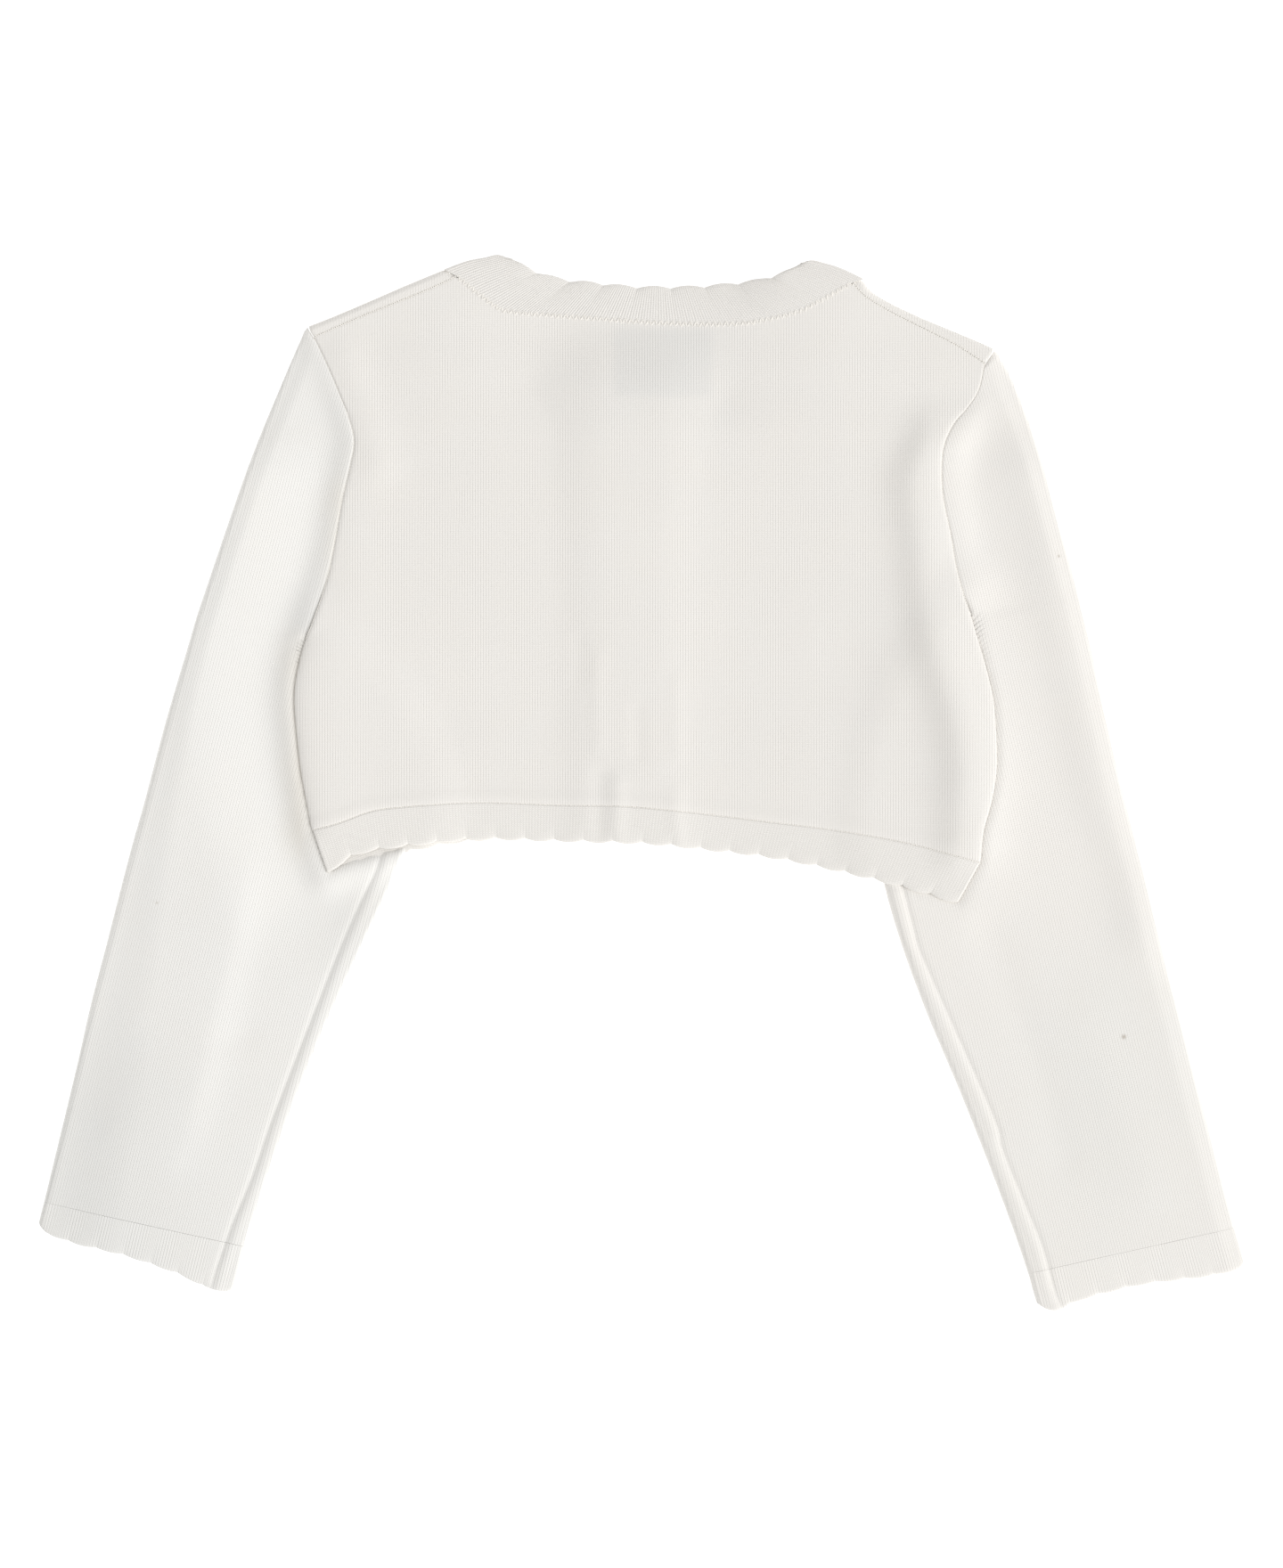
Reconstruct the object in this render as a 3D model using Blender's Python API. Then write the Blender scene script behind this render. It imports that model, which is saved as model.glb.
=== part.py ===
"""A child's cropped knitted cardigan, laid flat with its back upwards.

+X runs across the garment to the right as seen from above, +Y runs up to the neck and +Z up from the
surface that it lies on. The origin is on that surface, under the middle of the whole garment.
Every size and table is in millimetres, and the meshes are made in metres. The wearer's left is at -X.
"""
import bpy
import math
import numpy as np

MM = 0.001

# Cloth
WALL = 1.5
RIB_WALL = 2.0
LABEL_WALL = 1.0
SEAM_GAP = 0.4
FRONT_INSET = 0.2
LAYER_GAP = 0.4
LABEL_GAP = 0.7
FOLD_RADIUS = 1.5
FOLD_SHARE = 0.3

# Heights of the undersides of the hidden layers
SLEEVE_SPACE = 0.7
TUCK_HEIGHT = 2 * WALL + SLEEVE_SPACE + 0.6
TUCK_MARGIN = 2.0
TUCK_SLOPE = 18.0
SLEEVE_PUFF = 1.5
PUFF_START = 8.0
PUFF_SLOPE = 14.0
ARMHOLE_BEND = 5.0
SEAM_BEND = 3.0
SEAM_STEP = 0.5
UNDERARM_TOP = 2.8
UNDERARM_RISE = 0.2
BACK_CLEAR = 0.7

# Back neckband: its middle, and its underside at the middle and over the shoulders
NECK_MIDDLE = 4.0
NECKBAND_LOW = 0.6
NECKBAND_HIGH = 2.2
NECKBAND_FLAT = 30.0
NECKBAND_RISE = 25.0
NECK_ROWS = 3

# Front opening
BAND_X = (-12.0, 4.0)
BUTTON_RADIUS = 5.5
BUTTON_HEIGHT = 1.6
BUTTON_Y = (131.0, 86.0, 41.0, -4.0)
OUTER_BAND_Z = BUTTON_HEIGHT + 0.3
INNER_BAND_Z = OUTER_BAND_Z + WALL + LAYER_GAP
BAND_SLOPE = 30.0
NECK_SLOPE = 14.0
NECK_HALF = 48.0
NECK_MARGIN = 4.0

# Turned profile of a button, from its dished middle to its back
BUTTON_RIM = 0.35
BUTTON_PROFILE = ((0.0, 0.45), (3.4, 0.45), (3.9, 0.0), (BUTTON_RADIUS - BUTTON_RIM, 0.0),
                  (BUTTON_RADIUS, BUTTON_RIM), (BUTTON_RADIUS, BUTTON_HEIGHT - BUTTON_RIM),
                  (BUTTON_RADIUS - BUTTON_RIM, BUTTON_HEIGHT), (0.0, BUTTON_HEIGHT))
BUTTON_SEGMENTS = 16

# Label: its left end, its top and its size
LABEL_LEFT = -11.5
LABEL_TOP = 184.0
LABEL_SIZE = (40.0, 28.0)
LABEL_PARTS = 5

# Scallops
SCALLOP_DEPTH = 1.3
SCALLOP_ROUND = 0.8
SCALLOP_PARTS = 4
NECK_SCALLOPS = 9
FRONT_NECK_SCALLOPS = 8
HEM_SCALLOPS = 22
FRONT_HEM_SCALLOPS = 10
CUFF_SCALLOPS = 7

# Divisions of the walls
SIDE_ROWS = 7
ARMHOLE_ROWS = 12
SHOULDER_COLUMNS = 7
NECK_COLUMNS = 24
FRONT_NECK_COLUMNS = 14
SLEEVE_COLUMNS = 4
SIDE_FADE = 4
SLEEVE_LOWER_ROWS = 15
UNDERARM_ROWS = 3.0
BAND_ROWS = 8
BAND_COLUMNS = 2
LAP_SHARE = 8
STRIP_ROWS = (0.0, 0.5, 1.0)
CUFF_ROWS = (
    # how far down the cuff, how much of the puff
    (0.0, 1.0),
    (0.5, 0.8),
    (1.0, 0.3),
)

KNIT_COLOUR = (0.83, 0.80, 0.76, 1.0)
LABEL_COLOUR = (0.62, 0.62, 0.62, 1.0)
BUTTON_COLOUR = (0.86, 0.84, 0.80, 1.0)
KNIT_ROUGHNESS = 0.9
LABEL_ROUGHNESS = 0.7
BUTTON_ROUGHNESS = 0.3

# Outlines of the back, each a short table of x and y
HEM_SEAM = ((-132.5, -18.4), (-122.0, -15.6), (-109.3, -11.0), (-96.5, -9.2), (-67.0, -7.4),
            (-33.8, -8.4), (-7.2, -8.9), (20.2, -11.4), (50.8, -15.1), (77.4, -18.4),
            (103.7, -23.0), (124.9, -28.3), (136.4, -31.5))
HEM_EDGE = ((-126.7, -35.6), (-119.2, -29.8), (-111.2, -26.6), (-95.0, -24.2), (-67.3, -21.6),
            (-30.2, -22.4), (0.0, -23.3), (21.6, -25.3), (56.2, -29.6), (90.7, -37.0),
            (115.2, -43.6), (127.6, -47.6))
FRONT_HEM_LEFT = ((-126.2, -36.4), (-118.4, -33.4), (-109.6, -31.0), (-97.9, -28.0),
                  (-86.0, -24.8), (-60.0, -21.6), (-12.0, -20.4))
FRONT_HEM_RIGHT = ((4.0, -20.6), (40.0, -25.2), (70.0, -29.8), (100.0, -37.5), (127.2, -46.8))
SIDE_LEFT = ((-132.5, -18.4), (-134.3, -9.4), (-137.0, 5.4), (-138.4, 18.0), (-139.6, 32.0),
             (-139.0, 42.1), (-136.6, 52.9), (-135.0, 58.3))
SIDE_RIGHT = ((136.4, -31.5), (137.6, -19.1), (140.6, -8.0), (142.8, 5.0), (142.6, 21.6),
              (141.4, 34.9), (138.6, 47.0), (135.2, 58.5), (132.5, 68.0))
ARMHOLE_LEFT = ((-135.0, 58.3), (-131.4, 67.5), (-126.4, 83.0), (-123.1, 99.4), (-120.4, 114.8),
                (-117.0, 129.5), (-115.7, 138.4), (-117.7, 147.2), (-121.5, 157.0),
                (-126.6, 169.0), (-132.1, 180.4))
ARMHOLE_RIGHT = ((132.5, 68.0), (129.6, 76.0), (126.6, 88.2), (124.4, 101.0), (121.6, 114.5),
                 (120.8, 124.5), (121.6, 135.5), (125.6, 144.7), (131.4, 151.6), (136.0, 159.0),
                 (138.4, 169.7))
SEAM_LEFT = ((-132.1, 180.4), (-115.5, 187.6), (-100.0, 193.9), (-86.4, 199.4), (-74.5, 204.8))
SEAM_RIGHT = ((85.3, 202.3), (90.0, 197.0), (100.7, 190.4), (115.0, 183.2), (127.0, 177.0),
              (138.4, 169.7))
FOLD_LEFT = ((-134.4, 184.7), (-123.8, 188.9), (-109.0, 195.2), (-94.7, 201.4), (-78.2, 208.2))
FOLD_RIGHT = ((88.4, 204.4), (94.0, 197.9), (107.6, 190.6), (122.0, 184.4), (134.0, 179.4),
              (141.6, 175.6))
NECK_JOINT = ((-74.5, 204.8), (-63.7, 196.2), (-55.0, 190.9), (-35.6, 188.9), (-17.3, 187.6),
              (4.0, 186.1), (25.0, 185.4), (43.0, 186.0), (61.6, 190.0), (72.0, 194.8),
              (79.0, 198.8), (85.3, 202.3))
NECK_EDGE = ((-54.3, 212.0), (-42.9, 206.3), (-31.1, 203.0), (-18.0, 201.6), (-4.7, 200.3),
             (8.9, 200.0), (23.2, 200.3), (35.6, 201.3), (49.0, 203.2), (60.5, 207.0),
             (64.4, 210.0))
NECK_FOLD_LEFT = ((-77.6, 208.8), (-70.6, 211.0), (-63.4, 212.4), (-58.0, 213.6), (-54.3, 212.0))
NECK_FOLD_RIGHT = ((87.4, 205.2), (80.5, 208.2), (74.0, 210.2), (68.4, 211.4), (64.4, 210.0))

# Outlines of the fronts' neck, from the shoulder fold to the opening
FRONT_JOINT_LEFT = ((-77.4, 206.4), (-73.5, 196.0), (-68.5, 181.0), (-60.5, 164.5), (-48.0, 151.5),
                    (-32.0, 142.5), (-12.4, 138.0))
FRONT_EDGE_LEFT = ((-55.3, 210.6), (-57.0, 203.0), (-54.5, 189.0), (-48.0, 174.0), (-38.0, 162.5),
                   (-26.0, 155.5), (-12.4, 152.5))
FRONT_JOINT_RIGHT = ((86.8, 202.6), (82.8, 193.0), (77.5, 178.0), (68.0, 162.5), (52.5, 150.5),
                     (31.0, 141.5), (4.4, 138.0))
FRONT_EDGE_RIGHT = ((65.6, 208.6), (68.0, 202.0), (65.0, 187.0), (57.5, 172.5), (46.0, 161.5),
                    (28.0, 155.0), (4.4, 152.5))

# Sleeves below the underarm: a row for each pair of outer and inner edge points
SLEEVE_LEFT_ROWS = (
    # outer x, outer y, inner x, inner y
    (-179.6, 67.7, -135.6, 57.8),
    (-183.6, 54.0, -118.8, 44.3),
    (-187.9, 39.6, -104.4, 28.8),
    (-192.6, 23.4, -92.9, 9.8),
    (-196.9, 7.2, -88.4, -8.2),
    (-201.2, -9.0, -91.0, -21.6),
    (-204.8, -21.6, -95.8, -29.8),
    (-208.4, -35.0, -101.5, -43.2),
    (-215.3, -61.9, -114.5, -72.0),
    (-222.3, -88.9, -127.4, -100.8),
    (-228.4, -115.6, -139.0, -129.6),
    (-234.9, -142.6, -149.4, -158.4),
    (-241.2, -168.6, -159.0, -186.6),
)
SLEEVE_RIGHT_ROWS = (
    # outer x, outer y, inner x, inner y
    (177.8, 74.9, 133.1, 67.4),
    (180.6, 63.0, 118.8, 52.2),
    (183.4, 50.4, 107.3, 32.4),
    (186.8, 34.2, 99.4, 10.8),
    (190.8, 16.2, 95.8, -10.8),
    (194.9, -1.8, 96.2, -28.8),
    (199.1, -18.0, 98.6, -43.2),
    (205.2, -41.4, 105.4, -66.1),
    (211.5, -68.4, 115.6, -93.6),
    (218.4, -95.4, 127.8, -122.4),
    (225.7, -124.2, 139.3, -151.2),
    (233.3, -153.0, 150.1, -180.0),
    (240.0, -178.8, 156.0, -197.4),
)
SLEEVE_LEFT_HEAD = ((-179.6, 67.7), (-168.4, 100.8), (-157.0, 133.0), (-144.0, 164.6),
                    (-138.2, 182.0))
SLEEVE_RIGHT_HEAD = ((177.8, 74.9), (170.6, 100.8), (161.5, 133.0), (150.4, 162.0),
                     (146.2, 172.6))
SLEEVE_LEFT_TOP = (-133.2, 179.2)
SLEEVE_RIGHT_TOP = (140.2, 169.4)
CUFF_EDGE_LEFT = ((-243.2, -179.4), (-229.7, -184.6), (-208.4, -189.8), (-187.2, -197.0),
                  (-176.0, -202.3), (-164.4, -205.0))
CUFF_EDGE_RIGHT = ((243.8, -194.6), (228.0, -198.2), (201.6, -201.6), (178.9, -207.2),
                   (168.0, -211.6), (160.4, -211.2))

# Height of the back's underside, a row for each level up the back
HEIGHT_X = (-140.0, -115.0, -75.0, -35.0, -4.0, 35.0, 75.0, 115.0, 140.0)
HEIGHT_ROWS = (
    # y, then the height at each place of HEIGHT_X
    (-60.0, 6.0, 5.9, 5.3, 4.9, 5.7, 4.9, 5.3, 5.9, 6.0),
    (0.0, 6.0, 6.0, 5.3, 4.9, 5.7, 4.9, 5.4, 6.0, 6.0),
    (50.0, 6.0, 5.6, 5.1, 4.9, 5.7, 4.9, 5.1, 5.6, 6.0),
    (100.0, 3.8, 4.6, 4.9, 4.8, 5.6, 4.8, 4.9, 4.8, 3.8),
    (140.0, 3.6, 4.2, 4.6, 4.4, 5.4, 4.4, 4.6, 4.2, 3.6),
    (164.0, 2.7, 3.3, 4.0, 3.2, 3.5, 3.2, 4.0, 3.2, 2.6),
    (186.0, 2.2, 2.3, 3.2, 2.2, 1.9, 2.2, 3.2, 2.2, 2.2),
    (215.0, 2.2, 2.2, 2.4, 1.4, 1.0, 1.4, 2.4, 2.2, 2.2),
)

# Long soft folds: the path, its depth (below zero is a trough) and its half width
BACK_FOLDS = (
    (((113.0, 144.0), (108.6, 118.0), (108.0, 90.0), (112.0, 58.9), (115.5, 30.0), (122.5, -2.0),
      (123.4, -28.0)), -1.5, 6.0),
    (((-118.0, 60.0), (-122.0, 20.0), (-118.0, -14.0)), -0.4, 9.0),
)
SLEEVE_FOLDS = (
    (((145.0, 136.0), (157.5, 92.0), (162.4, 68.0), (170.0, 13.0)), -1.0, 7.0),
    (((-150.0, 140.0), (-164.0, 70.0), (-172.0, 10.0)), 0.5, 10.0),
    (((-190.0, -20.0), (-186.0, -90.0), (-206.0, -150.0)), 0.6, 12.0),
    (((168.0, -20.0), (186.0, -90.0), (205.0, -160.0)), 0.6, 12.0),
)


def clear_scene():
    """Remove every object that the file holds."""
    for item in list(bpy.data.objects):
        bpy.data.objects.remove(item, do_unlink=True)


def material(name, colour, roughness):
    """A plain opaque finish."""
    finish = bpy.data.materials.new(name)
    finish.use_nodes = True
    shader = finish.node_tree.nodes["Principled BSDF"]
    shader.inputs["Base Color"].default_value = colour
    shader.inputs["Roughness"].default_value = roughness
    shader.inputs["Metallic"].default_value = 0.0
    return finish


def smooth_step(value):
    """0 to 1 with level ends."""
    part = np.clip(value, 0.0, 1.0)
    return part * part * (3.0 - 2.0 * part)


def dense_path(points, steps=12):
    """Points along a Catmull-Rom curve through a short table."""
    table = np.array(points, dtype=float)
    ends = np.vstack([2 * table[0] - table[1], table, 2 * table[-1] - table[-2]])
    line = []
    for index in range(1, len(ends) - 2):
        before, start, end, after = ends[index - 1:index + 3]
        for step in range(steps):
            t = step / steps
            line.append(0.5 * (2 * start + (end - before) * t
                               + (2 * before - 5 * start + 4 * end - after) * t ** 2
                               + (3 * start - before - 3 * end + after) * t ** 3))
    line.append(table[-1])
    return np.array(line)


def lengths(line):
    """Distance along a line of points, from its start."""
    return np.concatenate([[0.0], np.cumsum(np.linalg.norm(np.diff(line, axis=0), axis=1))])


def evenly(points, count):
    """count + 1 points, evenly spaced along the smooth curve through a table."""
    line = dense_path(points)
    along = lengths(line)
    wanted = np.linspace(0.0, along[-1], count + 1)
    return np.stack([np.interp(wanted, along, line[:, k]) for k in range(line.shape[1])], axis=1)


def at_fractions(points, fractions):
    """Points at the given fractions of the smooth curve's length."""
    line = dense_path(points)
    along = lengths(line)
    wanted = np.array(fractions) * along[-1]
    return np.stack([np.interp(wanted, along, line[:, k]) for k in range(line.shape[1])], axis=1)


def across(points, start, end, count):
    """Points of a curve that runs along X, evenly spaced between two places in X."""
    line = dense_path(points)
    places = np.linspace(start, end, count + 1)
    return np.stack([places, np.interp(places, line[:, 0], line[:, 1])], axis=1)


def joined(*lines):
    """Lines that meet end to start, as one line."""
    return np.vstack([lines[0]] + [line[1:] for line in lines[1:]])


def moved(line, distance):
    """A line moved to its left, in plan, by a distance."""
    ahead = np.gradient(line, axis=0)
    ahead /= np.linalg.norm(ahead, axis=1)[:, None]
    return line + distance * np.stack([-ahead[:, 1], ahead[:, 0]], axis=1)


def patch(bottom, top, left, right):
    """A grid of points that fills four edges; rows run from bottom to top.

    The bulges of the two sides fade quickly inwards, so that they stay clear of a curved neck.
    """
    rows, columns = len(left), len(bottom)
    grid = np.zeros((rows, columns, 2))
    for row in range(rows):
        v = row / (rows - 1)
        ruled = bottom * (1.0 - v) + top * v
        for column in range(columns):
            u = column / (columns - 1)
            from_left = (1.0 - u) ** SIDE_FADE
            from_right = u ** SIDE_FADE
            grid[row, column] = (ruled[column] + from_left * (left[row] - ruled[0])
                                 + from_right * (right[row] - ruled[-1]))
    return grid


def path_distance(x, y, line):
    """Distance in plan from a point to a line of points."""
    start, end = line[:-1], line[1:]
    run = end - start
    reach = ((np.array([x, y]) - start) * run).sum(axis=1) / np.maximum((run ** 2).sum(axis=1), 1e-9)
    nearest = start + np.clip(reach, 0.0, 1.0)[:, None] * run
    return float(np.min(np.hypot(nearest[:, 0] - x, nearest[:, 1] - y)))


def inside(x, y, outline):
    """Whether a point lies inside a closed outline, in plan."""
    found = False
    last = outline[-1]
    for point in outline:
        if (point[1] > y) != (last[1] > y):
            crossing = point[0] + (y - point[1]) / (last[1] - point[1]) * (last[0] - point[0])
            if x < crossing:
                found = not found
        last = point
    return found


def fold_height(x, y, folds):
    """The sum of the soft ridges and troughs at a point."""
    total = 0.0
    for path, depth, half_width in folds:
        distance = path_distance(x, y, np.array(path))
        total += depth * math.exp(-(distance / half_width) ** 2)
    return total


def sleeve_outline(rows):
    """The outline of the sleeve below the underarm, and its inner edge."""
    table = np.array(rows)
    outer = dense_path(table[:, :2], 3)
    inner = dense_path(table[:, 2:], 3)
    return np.vstack([outer, inner[::-1]]), inner


LEFT_OUTLINE, LEFT_INNER = sleeve_outline(SLEEVE_LEFT_ROWS)
RIGHT_OUTLINE, RIGHT_INNER = sleeve_outline(SLEEVE_RIGHT_ROWS)


def tuck_height(x, y):
    """How far a sleeve that lies underneath lifts the body."""
    outline, inner = (LEFT_OUTLINE, LEFT_INNER) if x < 0 else (RIGHT_OUTLINE, RIGHT_INNER)
    if inside(x, y, outline):
        return TUCK_HEIGHT
    distance = path_distance(x, y, inner)
    return TUCK_HEIGHT * float(smooth_step(1.0 - (distance - TUCK_MARGIN) / TUCK_SLOPE))


def front_height(x, y, side):
    """Height of a front's underside; side is -1 for the left front and 1 for the right."""
    lift = INNER_BAND_Z if side < 0 else OUTER_BAND_Z
    seam = BAND_X[0] if side < 0 else BAND_X[1]
    away = side * (x - seam)
    return max(tuck_height(x, y), lift * float(smooth_step(1.0 - away / BAND_SLOPE)))


def table_height(x, y):
    """Height of the back's underside, read smoothly from its table."""
    rows = np.array(HEIGHT_ROWS)
    level = [smooth_column(x, row[1:]) for row in rows]
    place = float(np.clip(y, rows[0, 0], rows[-1, 0]))
    index = min(int(np.searchsorted(rows[:, 0], place, side="right")) - 1, len(rows) - 2)
    part = float(smooth_step((place - rows[index, 0]) / (rows[index + 1, 0] - rows[index, 0])))
    return level[index] * (1.0 - part) + level[index + 1] * part


def smooth_column(x, heights):
    """A height between the places of one row of the table."""
    places = np.array(HEIGHT_X)
    place = float(np.clip(x, places[0], places[-1]))
    index = min(int(np.searchsorted(places, place, side="right")) - 1, len(places) - 2)
    part = float(smooth_step((place - places[index]) / (places[index + 1] - places[index])))
    return heights[index] * (1.0 - part) + heights[index + 1] * part


def opening_height(x):
    """Height of the left front's band, which lies over the right one, and of its slopes."""
    beyond = abs(x - sum(BAND_X) / 2) - (BAND_X[1] - BAND_X[0]) / 2 - TUCK_MARGIN
    return INNER_BAND_Z * float(smooth_step(1.0 - beyond / BAND_SLOPE))


def back_height(x, y):
    """Height of the back's underside, clear of what lies under it."""
    wanted = table_height(x, y) + fold_height(x, y, BACK_FOLDS)
    beyond_neckband = y - FRONT_EDGE_LEFT[-1][1] - SCALLOP_DEPTH - NECK_MARGIN
    lift = opening_height(x) * float(smooth_step(1.0 - beyond_neckband / NECK_SLOPE))
    under = max(tuck_height(x, y), lift)
    if beyond_neckband > NECK_SLOPE and abs(x) < NECK_HALF:
        return wanted
    return max(wanted, under + WALL + BACK_CLEAR)


def lifted(grid, height, wall):
    """Middle points of a wall whose underside is at a height above each point of a plan grid."""
    flat = grid.reshape(-1, 2)
    middle = [(x, y, height(x, y) + wall / 2) for x, y in flat]
    return np.array(middle).reshape(grid.shape[0], grid.shape[1], 3)


def grid_faces(rows, columns, closed=False):
    """Quads of a grid whose points are numbered row by row."""
    faces = []
    last = columns if closed else columns - 1
    for row in range(rows - 1):
        for column in range(last):
            beside = (column + 1) % columns
            faces.append((row * columns + column, row * columns + beside,
                          (row + 1) * columns + beside, (row + 1) * columns + column))
    return faces


def wall(name, points, faces, thickness, finish):
    """One closed wall of an even thickness about a sheet of middle points."""
    mesh = bpy.data.meshes.new(name)
    mesh.from_pydata([tuple(float(c) * MM for c in point) for point in points], [], faces)
    mesh.validate()
    mesh.update()
    item = bpy.data.objects.new(name, mesh)
    bpy.context.collection.objects.link(item)
    mesh.materials.append(finish)
    mesh.shade_smooth()
    solid = item.modifiers.new("Thickness", "SOLIDIFY")
    solid.thickness = thickness * MM
    solid.offset = 0.0
    solid.use_even_offset = True
    solid.use_rim = True
    return item


def sheet(name, grid, thickness, finish, closed=False):
    """A wall over a grid of middle points."""
    rows, columns = grid.shape[:2]
    return wall(name, grid.reshape(-1, 3), grid_faces(rows, columns, closed), thickness, finish)


def scalloped(line, count, depth):
    """An edge with a row of rounded scallops that stand out to the line's right."""
    steps = len(line) - 1
    phase = np.arange(steps + 1) * count / steps
    swell = depth * np.abs(np.sin(math.pi * phase)) ** SCALLOP_ROUND
    ahead = np.gradient(line, axis=0)
    ahead /= np.linalg.norm(ahead, axis=1)[:, None]
    outward = np.stack([ahead[:, 1], -ahead[:, 0]], axis=1)
    return line + swell[:, None] * outward


def back_panel(finish):
    """The back, from the hem seam to the shoulder seams and the neckband."""
    left = joined(evenly(SIDE_LEFT, SIDE_ROWS), evenly(ARMHOLE_LEFT, ARMHOLE_ROWS))
    right = joined(evenly(SIDE_RIGHT, SIDE_ROWS), evenly(ARMHOLE_RIGHT, ARMHOLE_ROWS))
    top = joined(evenly(SEAM_LEFT, SHOULDER_COLUMNS), evenly(NECK_JOINT, NECK_COLUMNS),
                 evenly(SEAM_RIGHT, SHOULDER_COLUMNS))
    columns = 2 * SHOULDER_COLUMNS + NECK_COLUMNS
    bottom = across(HEM_SEAM, SIDE_LEFT[0][0], SIDE_RIGHT[0][0], columns)
    return sheet("back_panel", lifted(patch(bottom, top, left, right), back_height, WALL), WALL,
                 finish)


def front_panel(side, finish):
    """One front, which wraps over the shoulder to the seam on the back."""
    left = side < 0
    word = "left" if left else "right"
    side_table = SIDE_LEFT if left else SIDE_RIGHT
    armhole = ARMHOLE_LEFT if left else ARMHOLE_RIGHT
    fold = FOLD_LEFT if left else FOLD_RIGHT[::-1]
    seam = SEAM_LEFT if left else SEAM_RIGHT[::-1]
    joint = FRONT_JOINT_LEFT if left else FRONT_JOINT_RIGHT
    edge_x = (BAND_X[0] - SEAM_GAP) if left else (BAND_X[1] + SEAM_GAP)
    fold_line = evenly(fold, SHOULDER_COLUMNS)
    seam_line = moved(evenly(seam, SHOULDER_COLUMNS), -side * SEAM_GAP)
    curl_line = moved(fold_line, side * (FOLD_RADIUS + WALL / 2))
    apex_line = moved(fold_line, side * WALL / 2)
    neck_line = evenly(joint, FRONT_NECK_COLUMNS)
    neck_line[-1, 0] = edge_x
    outer = joined(evenly(side_table, SIDE_ROWS), evenly(armhole, ARMHOLE_ROWS))
    outer = moved(outer, side * FRONT_INSET)
    columns = SHOULDER_COLUMNS + FRONT_NECK_COLUMNS
    top = joined(curl_line, neck_line)
    top[SHOULDER_COLUMNS] = curl_line[-1]
    outer[-1] = curl_line[0]
    bottom = across(HEM_SEAM, side_table[0][0], edge_x, columns)
    outer[0] = bottom[0]
    middle = np.stack([np.full(len(outer), edge_x),
                       np.linspace(bottom[-1][1], neck_line[-1][1], len(outer))], axis=1)
    plan = patch(bottom, top, outer, middle)
    grid = lifted(plan, lambda x, y: front_height(x, y, side), WALL)
    points = [tuple(point) for point in grid.reshape(-1, 3)]
    faces = grid_faces(grid.shape[0], grid.shape[1])
    top_row = (grid.shape[0] - 1) * grid.shape[1]
    previous = [top_row + column for column in range(SHOULDER_COLUMNS + 1)]
    seam_z = [back_height(x, y) + WALL / 2 for x, y in seam_line]
    for line, part in ((apex_line, 0.5), (curl_line, 1.0), (seam_line, 1.0)):
        row = []
        for column in range(SHOULDER_COLUMNS + 1):
            low = WALL / 2
            height = low + part * (seam_z[column] - low)
            row.append(len(points))
            points.append((line[column][0], line[column][1], height))
        for column in range(SHOULDER_COLUMNS):
            faces.append((previous[column], previous[column + 1], row[column + 1], row[column]))
        previous = row
    return wall(f"front_{word}", points, faces, WALL, finish)


def sleeve_top(x, y, from_body):
    """Middle height of a sleeve's upper wall, away from its edges."""
    part = float(smooth_step((from_body - PUFF_START) / PUFF_SLOPE))
    return WALL * 1.5 + SLEEVE_SPACE + part * (SLEEVE_PUFF + fold_height(x, y, SLEEVE_FOLDS))


def body_outline():
    """The closed outline of the body, hem included."""
    left = joined(dense_path(SIDE_LEFT, 4), dense_path(ARMHOLE_LEFT, 4))
    right = joined(dense_path(SIDE_RIGHT, 4), dense_path(ARMHOLE_RIGHT, 4))[::-1]
    left_hem = dense_path(FRONT_HEM_LEFT, 4)[::-1]
    right_hem = dense_path(HEM_EDGE, 4)[::-1]
    right_hem = right_hem[right_hem[:, 0] > 0.0]
    outline = np.vstack([left, right, right_hem, left_hem])
    return np.vstack([outline, outline[:1]])


def rounded(distance, reach):
    """0 at a folded edge, 1 from its fold radius inwards."""
    return math.sqrt(max(0.0, 1.0 - (1.0 - min(distance / reach, 1.0)) ** 2))


def sleeve_ring(start, end, seam_top, seam_low, reach, heights):
    """One ring of middle points, from the seam over the top to the outer edge and back below.

    seam_top and seam_low are the heights of its two ends, reach is how far they bend the walls,
    and heights gives the upper wall's height at a plan point.
    """
    width = float(np.linalg.norm(end - start))
    along = (end - start) / width
    near = min(FOLD_RADIUS, width / 5)
    low = WALL / 2
    side_z = low + (WALL + SLEEVE_SPACE) / 2
    far = max(width - SEAM_BEND, width * 0.8)
    places = [0.0, FOLD_SHARE * near, near]
    places += [near + (far - near) * step / SLEEVE_COLUMNS for step in range(1, SLEEVE_COLUMNS + 1)]
    places.append(width)
    upper, under = [], []
    for place in places:
        x, y = start + along * place
        bend = math.exp(-((width - place) / reach) ** 2)
        top = heights(x, y)
        top += (seam_top - top) * bend
        bottom = low + (seam_low - low) * math.exp(-((width - place) / SEAM_BEND) ** 2)
        edge = rounded(place, near)
        upper.append((x, y, side_z + (top - side_z) * edge))
        under.append((x, y, side_z + (bottom - side_z) * edge))
    return upper[::-1] + under[1:]


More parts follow.
